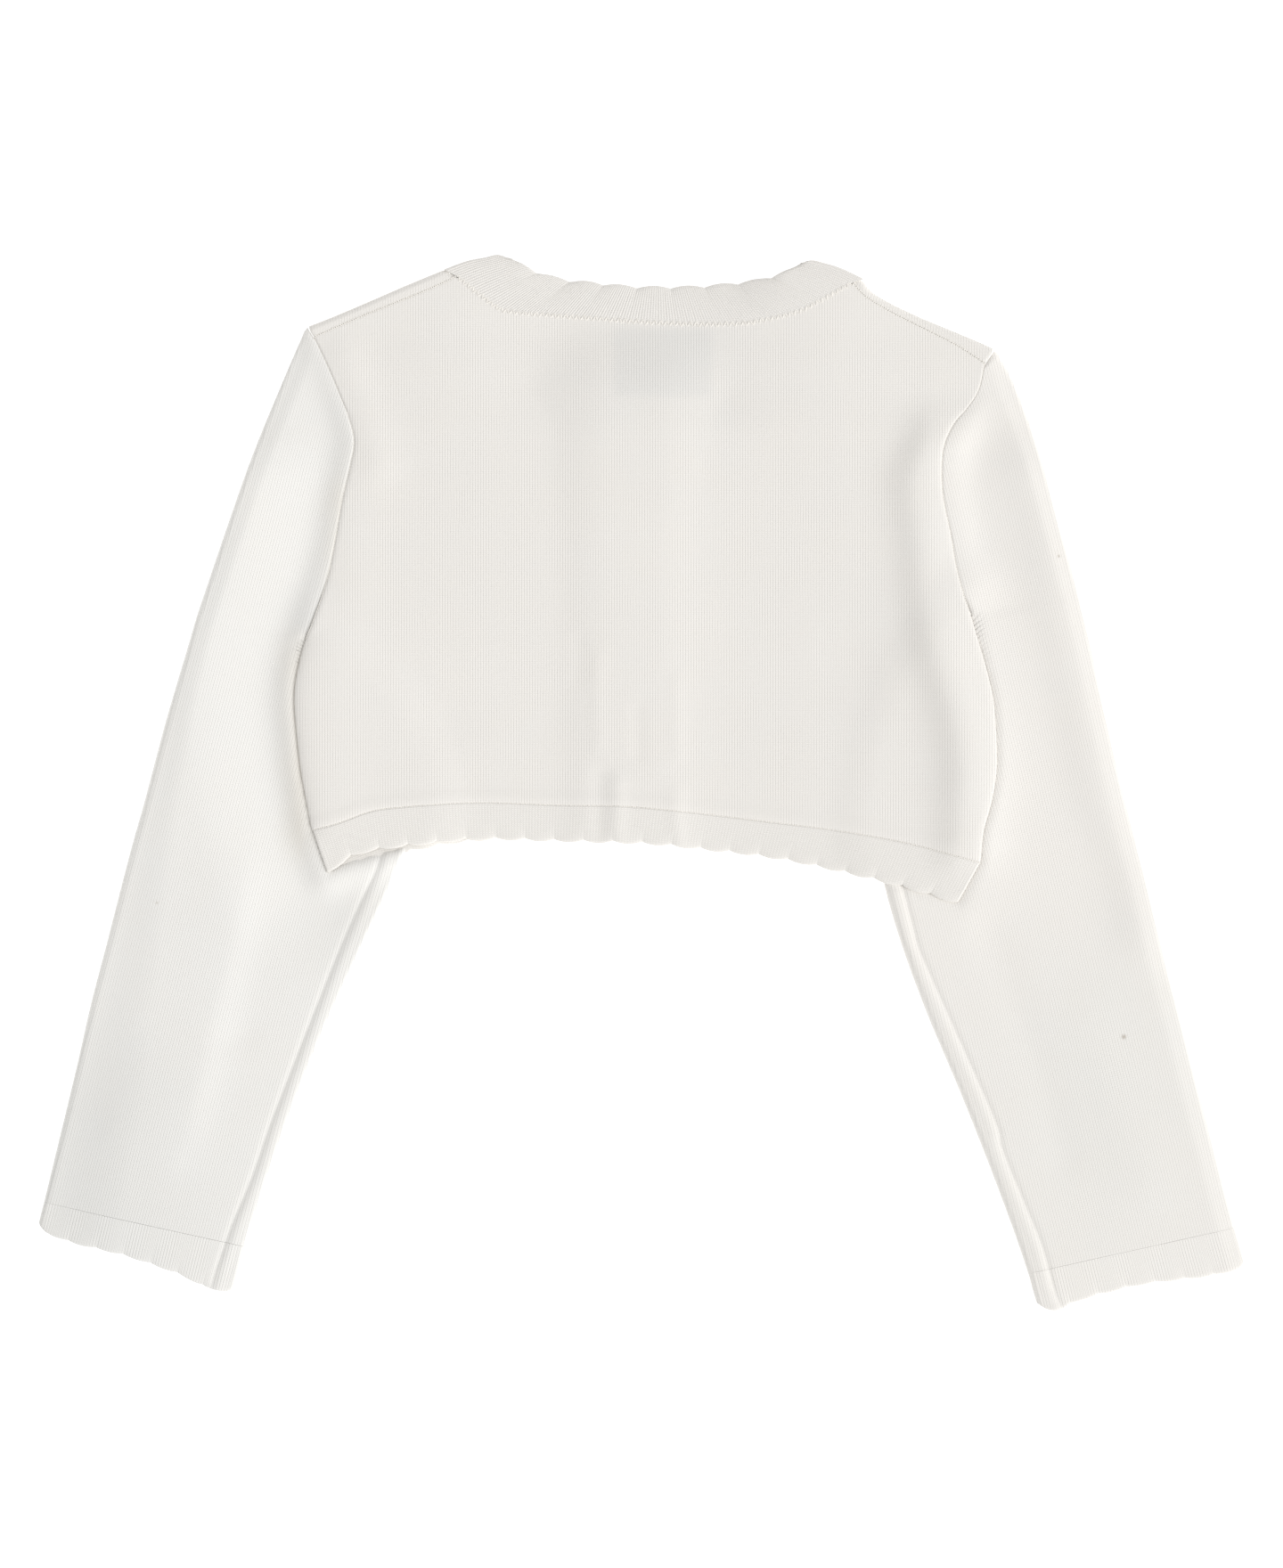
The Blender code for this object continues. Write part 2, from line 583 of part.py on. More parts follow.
def sleeve(side, finish):
    """One sleeve, folded flat: its two edges meet along the underarm seam, below the armhole."""
    left = side < 0
    word = "left" if left else "right"
    armhole = evenly(ARMHOLE_LEFT if left else ARMHOLE_RIGHT, ARMHOLE_ROWS)
    armhole = moved(armhole, -side * SEAM_GAP)[::-1]
    armhole[0] = SLEEVE_LEFT_TOP if left else SLEEVE_RIGHT_TOP
    head = evenly(SLEEVE_LEFT_HEAD if left else SLEEVE_RIGHT_HEAD, ARMHOLE_ROWS)[::-1]
    lower = evenly(SLEEVE_LEFT_ROWS if left else SLEEVE_RIGHT_ROWS, SLEEVE_LOWER_ROWS)
    outer = np.vstack([head, lower[1:, :2]])
    inner = np.vstack([armhole, lower[1:, 2:]])
    outline = body_outline()

    def heights(x, y):
        distance = 0.0 if inside(x, y, outline) else path_distance(x, y, outline)
        return sleeve_top(x, y, distance)

    rings = []
    for station, (edge, seam) in enumerate(zip(outer, inner)):
        along = (seam - edge) / np.linalg.norm(seam - edge)
        near_underarm = float(smooth_step(1.0 - (ARMHOLE_ROWS - station) / UNDERARM_ROWS))
        armhole_top = back_height(*seam) + WALL / 2 - SEAM_STEP
        seam_top = armhole_top + (UNDERARM_TOP - armhole_top) * near_underarm
        seam_low = WALL / 2 + UNDERARM_RISE * near_underarm
        reach = ARMHOLE_BEND if station <= ARMHOLE_ROWS else SEAM_BEND
        rings.append(sleeve_ring(edge + along * WALL / 2, seam, seam_top, seam_low, reach, heights))
    return sheet(f"sleeve_{word}", np.array(rings), WALL, finish)


def cuff(side, finish):
    """One cuff: a flat ring with a scalloped edge."""
    left = side < 0
    word = "left" if left else "right"
    last = np.array(SLEEVE_LEFT_ROWS[-1] if left else SLEEVE_RIGHT_ROWS[-1])
    edge = CUFF_EDGE_LEFT if left else CUFF_EDGE_RIGHT
    along = (last[2:] - last[:2]) / np.linalg.norm(last[2:] - last[:2])
    down = np.array([along[1], -along[0]]) * (1.0 if left else -1.0)
    width = float(np.linalg.norm(last[2:] - last[:2])) - WALL
    bend = FOLD_RADIUS / width
    steps = CUFF_SCALLOPS * SCALLOP_PARTS
    span = 1.0 - 2 * bend
    fractions = [0.0, FOLD_SHARE * bend] + [bend + span * k / steps for k in range(steps + 1)]
    fractions += [1.0 - FOLD_SHARE * bend, 1.0]
    start = last[:2] + along * WALL / 2 + down * SEAM_GAP
    end = last[2:] - along * WALL / 2 + down * SEAM_GAP
    joint = np.array([start + (end - start) * f for f in fractions])
    rim = at_fractions(edge, fractions)
    phase = np.clip((np.array(fractions) - bend) / span, 0.0, 1.0) * CUFF_SCALLOPS
    swell = SCALLOP_DEPTH * np.abs(np.sin(math.pi * phase)) ** SCALLOP_ROUND
    rim_line = rim + swell[:, None] * down
    rim_line[0] += along * WALL / 2
    rim_line[-1] -= along * WALL / 2
    half = (WALL + SLEEVE_SPACE) / 2
    rows = []
    for part, puff in CUFF_ROWS:
        line = joint * (1.0 - part) + rim_line * part
        upper, under = [], []
        for f, (x, y) in zip(fractions, line):
            reach = min(f, 1.0 - f) * width
            round_off = rounded(reach, FOLD_RADIUS)
            middle = WALL / 2 + half
            rise = half + puff * SLEEVE_PUFF * float(smooth_step(reach / PUFF_SLOPE))
            upper.append((x, y, middle + rise * round_off))
            under.append((x, y, middle - half * round_off))
        rows.append(upper + under[1:-1][::-1])
    return sheet(f"cuff_{word}", np.array(rows), WALL, finish, closed=True)


def hem_back(finish):
    """The back's hem band."""
    steps = HEM_SCALLOPS * SCALLOP_PARTS
    joint = moved(across(HEM_SEAM, HEM_SEAM[0][0], HEM_SEAM[-1][0], steps), -SEAM_GAP)
    edge = evenly(HEM_EDGE, steps)
    rim = scalloped(edge, HEM_SCALLOPS, SCALLOP_DEPTH)
    rows = [joint * (1.0 - part) + rim * part for part in STRIP_ROWS]
    grid = lifted(np.array(rows), back_height, WALL)
    return sheet("hem_back", grid, WALL, finish)


def hem_front(side, finish):
    """One front's hem band, from the side to the front band."""
    left = side < 0
    word = "left" if left else "right"
    steps = FRONT_HEM_SCALLOPS * SCALLOP_PARTS
    edge_x = (BAND_X[0] - SEAM_GAP) if left else (BAND_X[1] + SEAM_GAP)
    table = FRONT_HEM_LEFT if left else FRONT_HEM_RIGHT
    first, last = (HEM_SEAM[0][0], edge_x) if left else (edge_x, HEM_SEAM[-1][0])
    joint = moved(across(HEM_SEAM, first, last, steps), -SEAM_GAP)
    edge = evenly(table, steps)
    edge[-1 if left else 0, 0] = edge_x
    rim = scalloped(edge, FRONT_HEM_SCALLOPS, SCALLOP_DEPTH)
    rows = [joint * (1.0 - part) + rim * part for part in STRIP_ROWS]
    grid = lifted(np.array(rows), lambda x, y: front_height(x, y, side), WALL)
    return sheet(f"hem_front_{word}", grid, WALL, finish)


def neckband_back(finish):
    """The back of the neckband, up to the folds over the shoulders."""
    steps = NECK_SCALLOPS * SCALLOP_PARTS
    seam = moved(evenly(NECK_JOINT, steps - 2), SEAM_GAP)
    joint = np.vstack([NECK_FOLD_LEFT[0], seam, NECK_FOLD_RIGHT[0]])
    rim = scalloped(evenly(NECK_EDGE, steps)[::-1], NECK_SCALLOPS, SCALLOP_DEPTH)[::-1]
    plan = patch(joint, rim, evenly(NECK_FOLD_LEFT, NECK_ROWS), evenly(NECK_FOLD_RIGHT, NECK_ROWS))
    grid = np.zeros(plan.shape[:2] + (3,))
    for row, line in enumerate(plan):
        part = row / NECK_ROWS
        for column, (x, y) in enumerate(line):
            ends = float(smooth_step((abs(x - NECK_MIDDLE) - NECKBAND_FLAT) / NECKBAND_RISE))
            rim_z = NECKBAND_LOW + (NECKBAND_HIGH - NECKBAND_LOW) * ends
            seam_z = back_height(*joint[column]) - (RIB_WALL - WALL) / 2
            height = seam_z * (1.0 - part) + rim_z * part
            grid[row, column] = (x, y, height + RIB_WALL / 2)
    return sheet("neckband_back", grid, RIB_WALL, finish)


def neckband_front(side, finish):
    """One front's neckband, from the shoulder fold to the opening's far edge."""
    left = side < 0
    word = "left" if left else "right"
    joint_table = FRONT_JOINT_LEFT if left else FRONT_JOINT_RIGHT
    edge_table = FRONT_EDGE_LEFT if left else FRONT_EDGE_RIGHT
    far_x = BAND_X[1] if left else BAND_X[0]
    steps = FRONT_NECK_SCALLOPS * SCALLOP_PARTS
    lap = steps // LAP_SHARE
    lines = []
    for table in (joint_table, edge_table):
        run = evenly(table, steps - lap)
        end = run[-1]
        tail = [(end[0] + (far_x - end[0]) * k / lap, end[1]) for k in range(lap + 1)]
        lines.append(joined(run, np.array(tail)))
    joint = moved(lines[0], -side * SEAM_GAP)
    rim = lines[1]
    if left:
        rim = scalloped(rim[::-1], FRONT_NECK_SCALLOPS, SCALLOP_DEPTH)[::-1]
    else:
        rim = scalloped(rim, FRONT_NECK_SCALLOPS, SCALLOP_DEPTH)
    rows = [joint * (1.0 - part) + rim * part for part in STRIP_ROWS]
    grid = lifted(np.array(rows), lambda x, y: neck_front_height(x, side), WALL)
    return sheet(f"neckband_front_{word}", grid, WALL, finish)


def neck_front_height(x, side):
    """Height of a front neckband's underside."""
    lift = INNER_BAND_Z if side < 0 else OUTER_BAND_Z
    seam = BAND_X[0] if side < 0 else BAND_X[1]
    return lift * float(smooth_step(1.0 - side * (x - seam) / BAND_SLOPE))


def front_band(side, finish):
    """One front band, from the hem's edge to the neckband."""
    left = side < 0
    word = "left" if left else "right"
    height = (INNER_BAND_Z if left else OUTER_BAND_Z) + WALL / 2
    low = FRONT_HEM_LEFT[-1][1]
    high = FRONT_JOINT_LEFT[-1][1] - SEAM_GAP
    places = np.linspace(BAND_X[0], BAND_X[1], BAND_COLUMNS + 1)
    rows = [[(x, y, height) for x in places] for y in np.linspace(low, high, BAND_ROWS + 1)]
    return sheet(f"front_band_{word}", np.array(rows), WALL, finish)


def label(finish):
    """The blank label, sewn in under the back neck seam."""
    rows = []
    for row in range(LABEL_PARTS + 1):
        y = LABEL_TOP - LABEL_SIZE[1] * row / LABEL_PARTS
        line = []
        for column in range(LABEL_PARTS + 1):
            x = LABEL_LEFT + LABEL_SIZE[0] * column / LABEL_PARTS
            line.append((x, y, back_height(x, y) - LABEL_GAP - LABEL_WALL / 2))
        rows.append(line)
    return sheet("neck_label", np.array(rows), LABEL_WALL, finish)


def button(number, y, finish):
    """A plain turned button that faces the surface."""
    segments = BUTTON_SEGMENTS
    x = sum(BAND_X) / 2
    points = []
    rings = []
    for distance, z in BUTTON_PROFILE:
        if distance == 0.0:
            rings.append([len(points)] * segments)
            points.append((x, y, z))
            continue
        rings.append(list(range(len(points), len(points) + segments)))
        for step in range(segments):
            turn = 2 * math.pi * step / segments
            points.append((x + distance * math.cos(turn), y + distance * math.sin(turn), z))
    faces = []
    for first, second in zip(rings[:-1], rings[1:]):
        for step in range(segments):
            ahead = (step + 1) % segments
            quad = []
            for corner in (first[step], second[step], second[ahead], first[ahead]):
                if corner not in quad:
                    quad.append(corner)
            faces.append(tuple(quad[::-1]))
    mesh = bpy.data.meshes.new(f"button_{number}")
    mesh.from_pydata([tuple(c * MM for c in point) for point in points], [], faces)
    mesh.update()
    mesh.materials.append(finish)
    item = bpy.data.objects.new(f"button_{number}", mesh)
    bpy.context.collection.objects.link(item)
    mesh.shade_smooth()
    return item


def knit(name):
    """The finish of one knitted piece."""
    return material(name, KNIT_COLOUR, KNIT_ROUGHNESS)


def main():
    """Make every piece of the cardigan."""
    clear_scene()
    back_panel(knit("back_knit"))
    hem_back(knit("hem_back_knit"))
    neckband_back(knit("neckband_back_rib"))
    for side, word in ((-1, "left"), (1, "right")):
        front_panel(side, knit(f"front_{word}_knit"))
        hem_front(side, knit(f"hem_front_{word}_knit"))
        neckband_front(side, knit(f"neckband_front_{word}_rib"))
        front_band(side, knit(f"front_band_{word}_knit"))
        sleeve(side, knit(f"sleeve_{word}_knit"))
        cuff(side, knit(f"cuff_{word}_knit"))
    label(material("label_cloth", LABEL_COLOUR, LABEL_ROUGHNESS))
    for number, y in enumerate(BUTTON_Y, start=1):
        button(number, y, material(f"button_{number}_plastic", BUTTON_COLOUR, BUTTON_ROUGHNESS))


main()
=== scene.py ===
"""The looks of a child's cropped knitted cardigan, laid flat with its back upwards.

Every size is in millimetres, and the meshes are made in metres. +X runs across the back to the
right as seen from above, +Y up to the neck and +Z up from the floor. The wearer's left is at -X.
"""
import logging
import math
from dataclasses import dataclass
from enum import Enum
from typing import ClassVar, Mapping, Sequence

import bpy
import numpy as np
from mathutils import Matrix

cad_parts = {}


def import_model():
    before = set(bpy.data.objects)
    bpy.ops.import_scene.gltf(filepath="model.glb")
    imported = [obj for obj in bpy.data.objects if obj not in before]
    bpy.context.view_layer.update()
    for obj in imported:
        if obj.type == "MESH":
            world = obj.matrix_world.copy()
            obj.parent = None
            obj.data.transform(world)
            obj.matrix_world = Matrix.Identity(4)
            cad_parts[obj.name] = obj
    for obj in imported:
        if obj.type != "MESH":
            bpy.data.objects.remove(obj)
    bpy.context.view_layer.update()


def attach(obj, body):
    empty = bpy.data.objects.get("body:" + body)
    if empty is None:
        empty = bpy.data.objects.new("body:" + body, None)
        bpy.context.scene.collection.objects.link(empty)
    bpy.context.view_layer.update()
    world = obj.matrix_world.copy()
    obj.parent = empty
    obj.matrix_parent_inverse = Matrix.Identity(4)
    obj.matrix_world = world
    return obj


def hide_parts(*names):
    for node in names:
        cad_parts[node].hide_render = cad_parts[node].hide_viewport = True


MM = 0.001
KNIT_MAP = "Knit"
SHARP = math.radians(55.0)
SHARP_BUTTON = math.radians(40.0)
LOG = logging.getLogger("cardigan")

Colour = tuple[float, float, float]
Table = tuple[tuple[float, ...], ...]


class Side(Enum):
    """A side of the garment, with the sign of its X."""

    LEFT = -1
    RIGHT = 1

    @property
    def word(self) -> str:
        """The side's name, as the nodes' names end."""
        return self.name.lower()


@dataclass(frozen=True)
class Pair:
    """A size that differs between the two sides."""

    left: float
    right: float

    def of(self, side: Side) -> float:
        """One side's value."""
        return self.left if side is Side.LEFT else self.right


class Slot(Enum):
    """The record's material slots."""

    KNIT = "knit"
    RIB = "rib"
    LABEL = "label"
    BUTTON = "button"


class Value:
    """A number worked out by a shader; Python's operators on it add Math nodes."""

    def __init__(self, graph: "Graph", output: bpy.types.NodeSocket) -> None:
        """Keep the shader and the socket that the number comes out of."""
        self.graph = graph
        self.output = output

    def __add__(self, other: "Operand") -> "Value":
        """self + other."""
        return self.graph.math("ADD", self, other)

    __radd__ = __add__

    def __sub__(self, other: "Operand") -> "Value":
        """self - other."""
        return self.graph.math("SUBTRACT", self, other)

    def __rsub__(self, other: "Operand") -> "Value":
        """other - self."""
        return self.graph.math("SUBTRACT", other, self)

    def __mul__(self, other: "Operand") -> "Value":
        """self * other."""
        return self.graph.math("MULTIPLY", self, other)

    __rmul__ = __mul__

    def __truediv__(self, other: "Operand") -> "Value":
        """self / other."""
        return self.graph.math("DIVIDE", self, other)

    def __pow__(self, other: "Operand") -> "Value":
        """self to the power of other."""
        return self.graph.math("POWER", self, other)

    def __abs__(self) -> "Value":
        """The size of the number."""
        return self.graph.math("ABSOLUTE", self)

    def wave(self) -> "Value":
        """0 to 1 and back, once for each whole step of the number."""
        return self.graph.math("COSINE", self * math.tau) * 0.5 + 0.5

    def part(self) -> "Value":
        """What is left over the whole number."""
        return self.graph.math("FRACT", self)


Operand = Value | float


class Graph:
    """The shader of one finish."""

    def __init__(self, name: str) -> None:
        """Start an empty shader.

        Args:
            name: The name of the finish.
        """
        self.finish = bpy.data.materials.new(name)
        self.finish.use_nodes = True
        self.tree = self.finish.node_tree
        self.tree.nodes.clear()

    def node(self, kind: str, settings: Mapping[str, object] | None = None,
             inputs: Mapping[str | int, object] | None = None) -> bpy.types.Node:
        """Add one node.

        Args:
            kind: The node's type.
            settings: Its properties, which are set first.
            inputs: A value, or the Value or socket to link, for each of its sockets.

        Returns:
            The new node.
        """
        made = self.tree.nodes.new(kind)
        for key, value in (settings or {}).items():
            setattr(made, key, value)
        for key, value in (inputs or {}).items():
            source = value.output if isinstance(value, Value) else value
            if isinstance(source, bpy.types.NodeSocket):
                self.tree.links.new(source, made.inputs[key])
            else:
                made.inputs[key].default_value = source
        return made

    def math(self, operation: str, *values: Operand) -> Value:
        """A sum, product or other function of numbers."""
        made = self.node("ShaderNodeMath", {"operation": operation}, dict(enumerate(values)))
        return Value(self, made.outputs[0])

    def smooth(self, value: Value, start: float, end: float) -> Value:
        """0 below start and 1 past end, with soft ends.

        Args:
            value: The number to measure.
            start: Where the step starts.
            end: Where the step ends; it may lie below start.

        Returns:
            The step.
        """
        made = self.node("ShaderNodeMapRange", {"interpolation_type": "SMOOTHSTEP"},
                         {"Value": value, "From Min": start, "From Max": end})
        return Value(self, made.outputs["Result"])

    def noise(self, where: bpy.types.NodeSocket, scale: float, detail: float = 2.0,
              swirl: float = 0.0) -> Value:
        """Soft noise round 0.5.

        Args:
            where: The place.
            scale: How many features there are to one of its units.
            detail: How many finer layers the noise has.
            swirl: How far it is drawn out into streaks.

        Returns:
            The noise.
        """
        made = self.node("ShaderNodeTexNoise", {"noise_dimensions": "3D"},
                         {"Vector": where, "Scale": scale, "Detail": detail, "Distortion": swirl})
        return Value(self, made.outputs["Fac"])

    def places(self, where: bpy.types.NodeSocket) -> tuple[Value, Value, Value]:
        """The three numbers of a vector."""
        made = self.node("ShaderNodeSeparateXYZ", {}, {0: where})
        return tuple(Value(self, output) for output in made.outputs)

    def knit_places(self) -> tuple[bpy.types.NodeSocket, Value, Value]:
        """The knit's own coordinates in millimetres, as a vector and as its two numbers."""
        made = self.node("ShaderNodeUVMap", {"uv_map": KNIT_MAP})
        across, along, _ = self.places(made.outputs["UV"])
        return made.outputs["UV"], across, along

    def spot(self) -> bpy.types.NodeSocket:
        """The place on the object, in metres."""
        return self.node("ShaderNodeTexCoord").outputs["Object"]

    def blend(self, factor: Operand, first: object, second: object,
              how: str = "MIX") -> bpy.types.NodeSocket:
        """A colour between two others.

        Args:
            factor: 0 for the first colour and 1 for the second.
            first: A colour, or the socket of one.
            second: A colour, or the socket of one.
            how: The way in which they are mixed.

        Returns:
            The socket of the mixed colour.
        """
        made = self.node("ShaderNodeMix", {"data_type": "RGBA", "blend_type": how},
                         {"Factor": factor, 6: opaque(first), 7: opaque(second)})
        return made.outputs[2]

    def shade(self, colour: object, factor: Operand) -> bpy.types.NodeSocket:
        """A colour made lighter or darker by a factor."""
        made = self.node("ShaderNodeVectorMath", {"operation": "SCALE"},
                         {0: colour, "Scale": factor})
        return made.outputs[0]

    def bump(self, height: Value, distance: float, under: object = None) -> bpy.types.NodeSocket:
        """A raised surface.

        Args:
            height: The height, from 0 to 1.
            distance: The height in millimetres that 1 stands for.
            under: The normal that it is raised on, if that isn't the mesh's own.

        Returns:
            The socket of the new normal.
        """
        inputs = {"Height": height, "Distance": distance * MM, "Strength": 1.0}
        if under is not None:
            inputs["Normal"] = under
        return self.node("ShaderNodeBump", {}, inputs).outputs["Normal"]

    def surface(self, **inputs: object) -> bpy.types.Material:
        """Close the shader with a Principled surface.

        Args:
            **inputs: Values or links of the surface, with _ for each space of a socket's name.

        Returns:
            The finished material.
        """
        named = {key.replace("_", " "): value for key, value in inputs.items()}
        shader = self.node("ShaderNodeBsdfPrincipled", {}, named)
        self.node("ShaderNodeOutputMaterial", {}, {"Surface": shader.outputs["BSDF"]})
        return self.finish


def opaque(colour: object) -> object:
    """A plain colour with its alpha, or a colour's socket as it is."""
    return (*colour, 1.0) if isinstance(colour, tuple) else colour


@dataclass(frozen=True)
class Shadow:
    """A soft-edged tinted patch on the knit, for a label that shows through, for a fleck and for
    painted shade.
    """

    centre: tuple[float, float]
    half: tuple[float, float]
    soft: float
    tint: Colour

    def mask(self, graph: Graph, *place: Value) -> Value:
        """1 within the patch and 0 outside it.

        Args:
            graph: The shader.
            *place: The place in X and in Y, in millimetres.

        Returns:
            The mask.
        """
        near = [graph.smooth(abs(value - centre), half + self.soft, half - self.soft)
                for value, centre, half in zip(place, self.centre, self.half)]
        return near[0] * near[1]


@dataclass(frozen=True)
class ClothFinish:
    """What every cloth and yarn has: a matt surface, a soft sheen, fluff and uneven yarn."""

    name: str
    colour: Colour
    roughness: float = 0.92
    specular: float = 0.25
    sheen: float = 0.22
    sheen_roughness: float = 0.55
    fluff_scale: float = 4.5
    yarn_scale: float = 0.9
    yarn_tone: float = 0.02
    fluff_tone: float = 0.03

    def fibres(self, graph: Graph, knit: bpy.types.NodeSocket) -> tuple[Value, Value]:
        """The fluff and the unevenness of the yarn, each round 0.5."""
        return graph.noise(knit, self.fluff_scale, detail=4.0), graph.noise(knit, self.yarn_scale)

    def cloth(self, graph: Graph, colour: object, tone: Value,
              normal: bpy.types.NodeSocket) -> bpy.types.Material:
        """Close the shader of a cloth.

        Args:
            graph: The shader.
            colour: The cloth's colour, or its socket.
            tone: The factor that makes it lighter or darker.
            normal: The socket of its normal.

        Returns:
            The finished material.
        """
        return graph.surface(Base_Color=graph.shade(colour, tone), Normal=normal,
                             Roughness=self.roughness, Specular_IOR_Level=self.specular,
                             Sheen_Weight=self.sheen, Sheen_Roughness=self.sheen_roughness)


@dataclass(frozen=True)
class KnitFinish(ClothFinish):
    """Fine plain knit, whose stitches are pairs of slanted legs in upright wales."""

    wale: float = 1.10
    course: float = 0.86
    course_depth: float = 0.36
    slant: float = 0.42
    parting: float = 0.35
    wander_scale: float = 0.05
    wale_sway: float = 0.5
    course_sway: float = 0.3
    relief: float = 0.13
    yarn_relief: float = 0.12
    nap: float = 0.04
    hollow: float = 0.085
    cloud_scale: float = 16.0
    cloud_tone: float = 0.02
    warm_scale: float = 55.0
    warmth: Colour = (1.006, 0.996, 0.982)
    shadow_hollow: float = 1.12
    shadow_stitch: float = 0.24
    shadows: tuple[Shadow, ...] = ()

    def build(self) -> bpy.types.Material:
        """Make the finish.

        Returns:
            The material.
        """
        graph = Graph(self.name)
        knit, across, along = graph.knit_places()
        spot = graph.spot()
        wander = graph.noise(knit, self.wander_scale, detail=1.0) - 0.5
        leg_place = abs((across / self.wale + wander * self.wale_sway).part() - 0.5) * 2
        leg = 1 - leg_place ** 4 - (1 - leg_place) ** 4 * self.parting
        loop = (along / self.course + wander * self.course_sway - leg_place * self.slant).wave()
        stitch = leg * (loop * self.course_depth + (1 - self.course_depth))
        fluff, yarn = self.fibres(graph, knit)
        cloud = graph.noise(spot, self.cloud_scale, detail=3.0) - 0.5
        # painted shade: the hollows between the stitches are made darker
        tone = (1 - (1 - stitch) * self.hollow + (yarn - 0.5) * self.yarn_tone
                + (fluff - 0.5) * self.fluff_tone + cloud * self.cloud_tone)
        warm = tuple(part * share for part, share in zip(self.colour, self.warmth))
        base = graph.blend(graph.noise(spot, self.warm_scale), self.colour, warm)
        x, y, _ = graph.places(spot)
        # tinted patches: the label showing through, flecks, painted shade on the left sleeve and a
        # greyer lower right sleeve
        for tint_patch in self.shadows:
            seen = self.shadow_hollow - stitch * self.shadow_stitch
            mask = tint_patch.mask(graph, x / MM, y / MM) * seen
            base = graph.blend(mask, base, tint_patch.tint, "MULTIPLY")
        stitched = graph.bump(stitch + (yarn - 0.5) * self.yarn_relief, self.relief)
        return self.cloth(graph, base, tone, graph.bump(fluff, self.nap, stitched))


@dataclass(frozen=True)
class RibFinish(ClothFinish):
    """The bands' knit, whose ribs are in the mesh; the stitches lie one above the other on them."""

    rib: float = 1.2
    course: float = 0.8
    course_bend: float = 0.35
    course_shade: float = 0.03
    relief: float = 0.13
    yarn_share: float = 0.4
    nap: float = 0.10
    hollow: float = 0.10
    yarn_tone: float = 0.04
    fluff_tone: float = 0.05

    def build(self) -> bpy.types.Material:
        """Make the finish.

        Returns:
            The material.
        """
        graph = Graph(self.name)
        knit, across, along = graph.knit_places()
        crest = (across / self.rib + 0.5).wave()
        loop = (along / self.course + crest * self.course_bend).wave()
        fluff, yarn = self.fibres(graph, knit)
        # painted shade: the furrows between the ribs, and the gaps between the courses, are made
        # darker
        tone = (1 - (1 - crest) * self.hollow + (loop - 0.5) * self.course_shade
                + (yarn - 0.5) * self.yarn_tone + (fluff - 0.5) * self.fluff_tone)
        raised = loop * (1 - self.yarn_share) + yarn * self.yarn_share
        stitched = graph.bump(raised, self.relief)
        return self.cloth(graph, self.colour, tone, graph.bump(fluff, self.nap, stitched))


@dataclass(frozen=True)
class ThreadFinish(ClothFinish):
    """Twisted linking yarn."""

    twist: float = 1.1
    shaded: float = 0.95
    ply_shade: float = 0.07
    fluff_scale: float = 5.0
    fluff_tone: float = 0.05
    fluff_relief: float = 0.3
    relief: float = 0.08
    roughness: float = 0.9
    sheen: float = 0.2
    sheen_roughness: float = 0.5

    def build(self) -> bpy.types.Material:
        """Make the finish.

        Returns:
            The material.
        """
        graph = Graph(self.name)
        knit, around, along = graph.knit_places()
        ply = (along / self.twist + around).wave()
        fluff = graph.noise(knit, self.fluff_scale, detail=3.0)
        # painted shade: the grooves between the plies are made darker
        tone = ply * self.ply_shade + self.shaded + (fluff - 0.5) * self.fluff_tone
        raised = graph.bump(ply + fluff * self.fluff_relief, self.relief)
        return self.cloth(graph, self.colour, tone, raised)


@dataclass(frozen=True)
class TapeFinish(ClothFinish):
    """Plain woven tape, blank."""

    thread: float = 0.32
    shaded: float = 0.93
    weave_shade: float = 0.08
    yarn_scale: float = 0.6
    yarn_tone: float = 0.06
    relief: float = 0.06
    roughness: float = 0.62
    specular: float = 0.4
    sheen: float = 0.1
    sheen_roughness: float = 0.4

    def build(self) -> bpy.types.Material:
        """Make the finish.

        Returns:
            The material.
        """
        graph = Graph(self.name)
        knit, across, along = graph.knit_places()
        warp = (across / self.thread).wave()
        weft = (along / self.thread + 0.5).wave()
        over = graph.math("MAXIMUM", warp, weft)
        slub = graph.noise(knit, self.yarn_scale) - 0.5
        # painted shade: the weave is made darker where neither thread is on top
        tone = over * self.weave_shade + self.shaded + slub * self.yarn_tone
        return self.cloth(graph, self.colour, tone, graph.bump(over, self.relief))


@dataclass(frozen=True)
class PearlFinish:
    """Polished plastic with a faint pearly cloud, for the buttons."""

    name: str
    colour: Colour
    cloud: Colour
    cloud_scale: float = 260.0
    swirl: float = 1.6
    scuff_scale: float = 1500.0
    polished: float = 0.16
    scuffed: float = 0.18
    relief: float = 0.01

    def build(self) -> bpy.types.Material:
        """Make the finish.

        Returns:
            The material.
        """
        graph = Graph(self.name)
        spot = graph.spot()
        cloud = graph.noise(spot, self.cloud_scale, detail=3.0, swirl=self.swirl)
        scuff = graph.noise(spot, self.scuff_scale, detail=3.0)
        return graph.surface(Base_Color=graph.blend(cloud, self.colour, self.cloud),
                             Roughness=scuff * self.scuffed + self.polished,
                             Normal=graph.bump(scuff, self.relief),
                             Coat_Weight=0.4, Coat_Roughness=0.1)


@dataclass(frozen=True)
class FloorFinish:
    """The pale studio floor."""

    name: str
    colour: Colour
    glow: float
    grain_scale: float = 3.0
    grain_tone: float = 0.01

    def build(self) -> bpy.types.Material:
        """Make the finish.

        Returns:
            The material.
        """
        graph = Graph(self.name)
        grain = graph.noise(graph.spot(), self.grain_scale)
        base = graph.shade(self.colour, 1 - grain * self.grain_tone)
        return graph.surface(Base_Color=base, Roughness=0.9, Specular_IOR_Level=0.0,
                             Emission_Color=opaque((1.0, 1.0, 1.0)), Emission_Strength=self.glow)


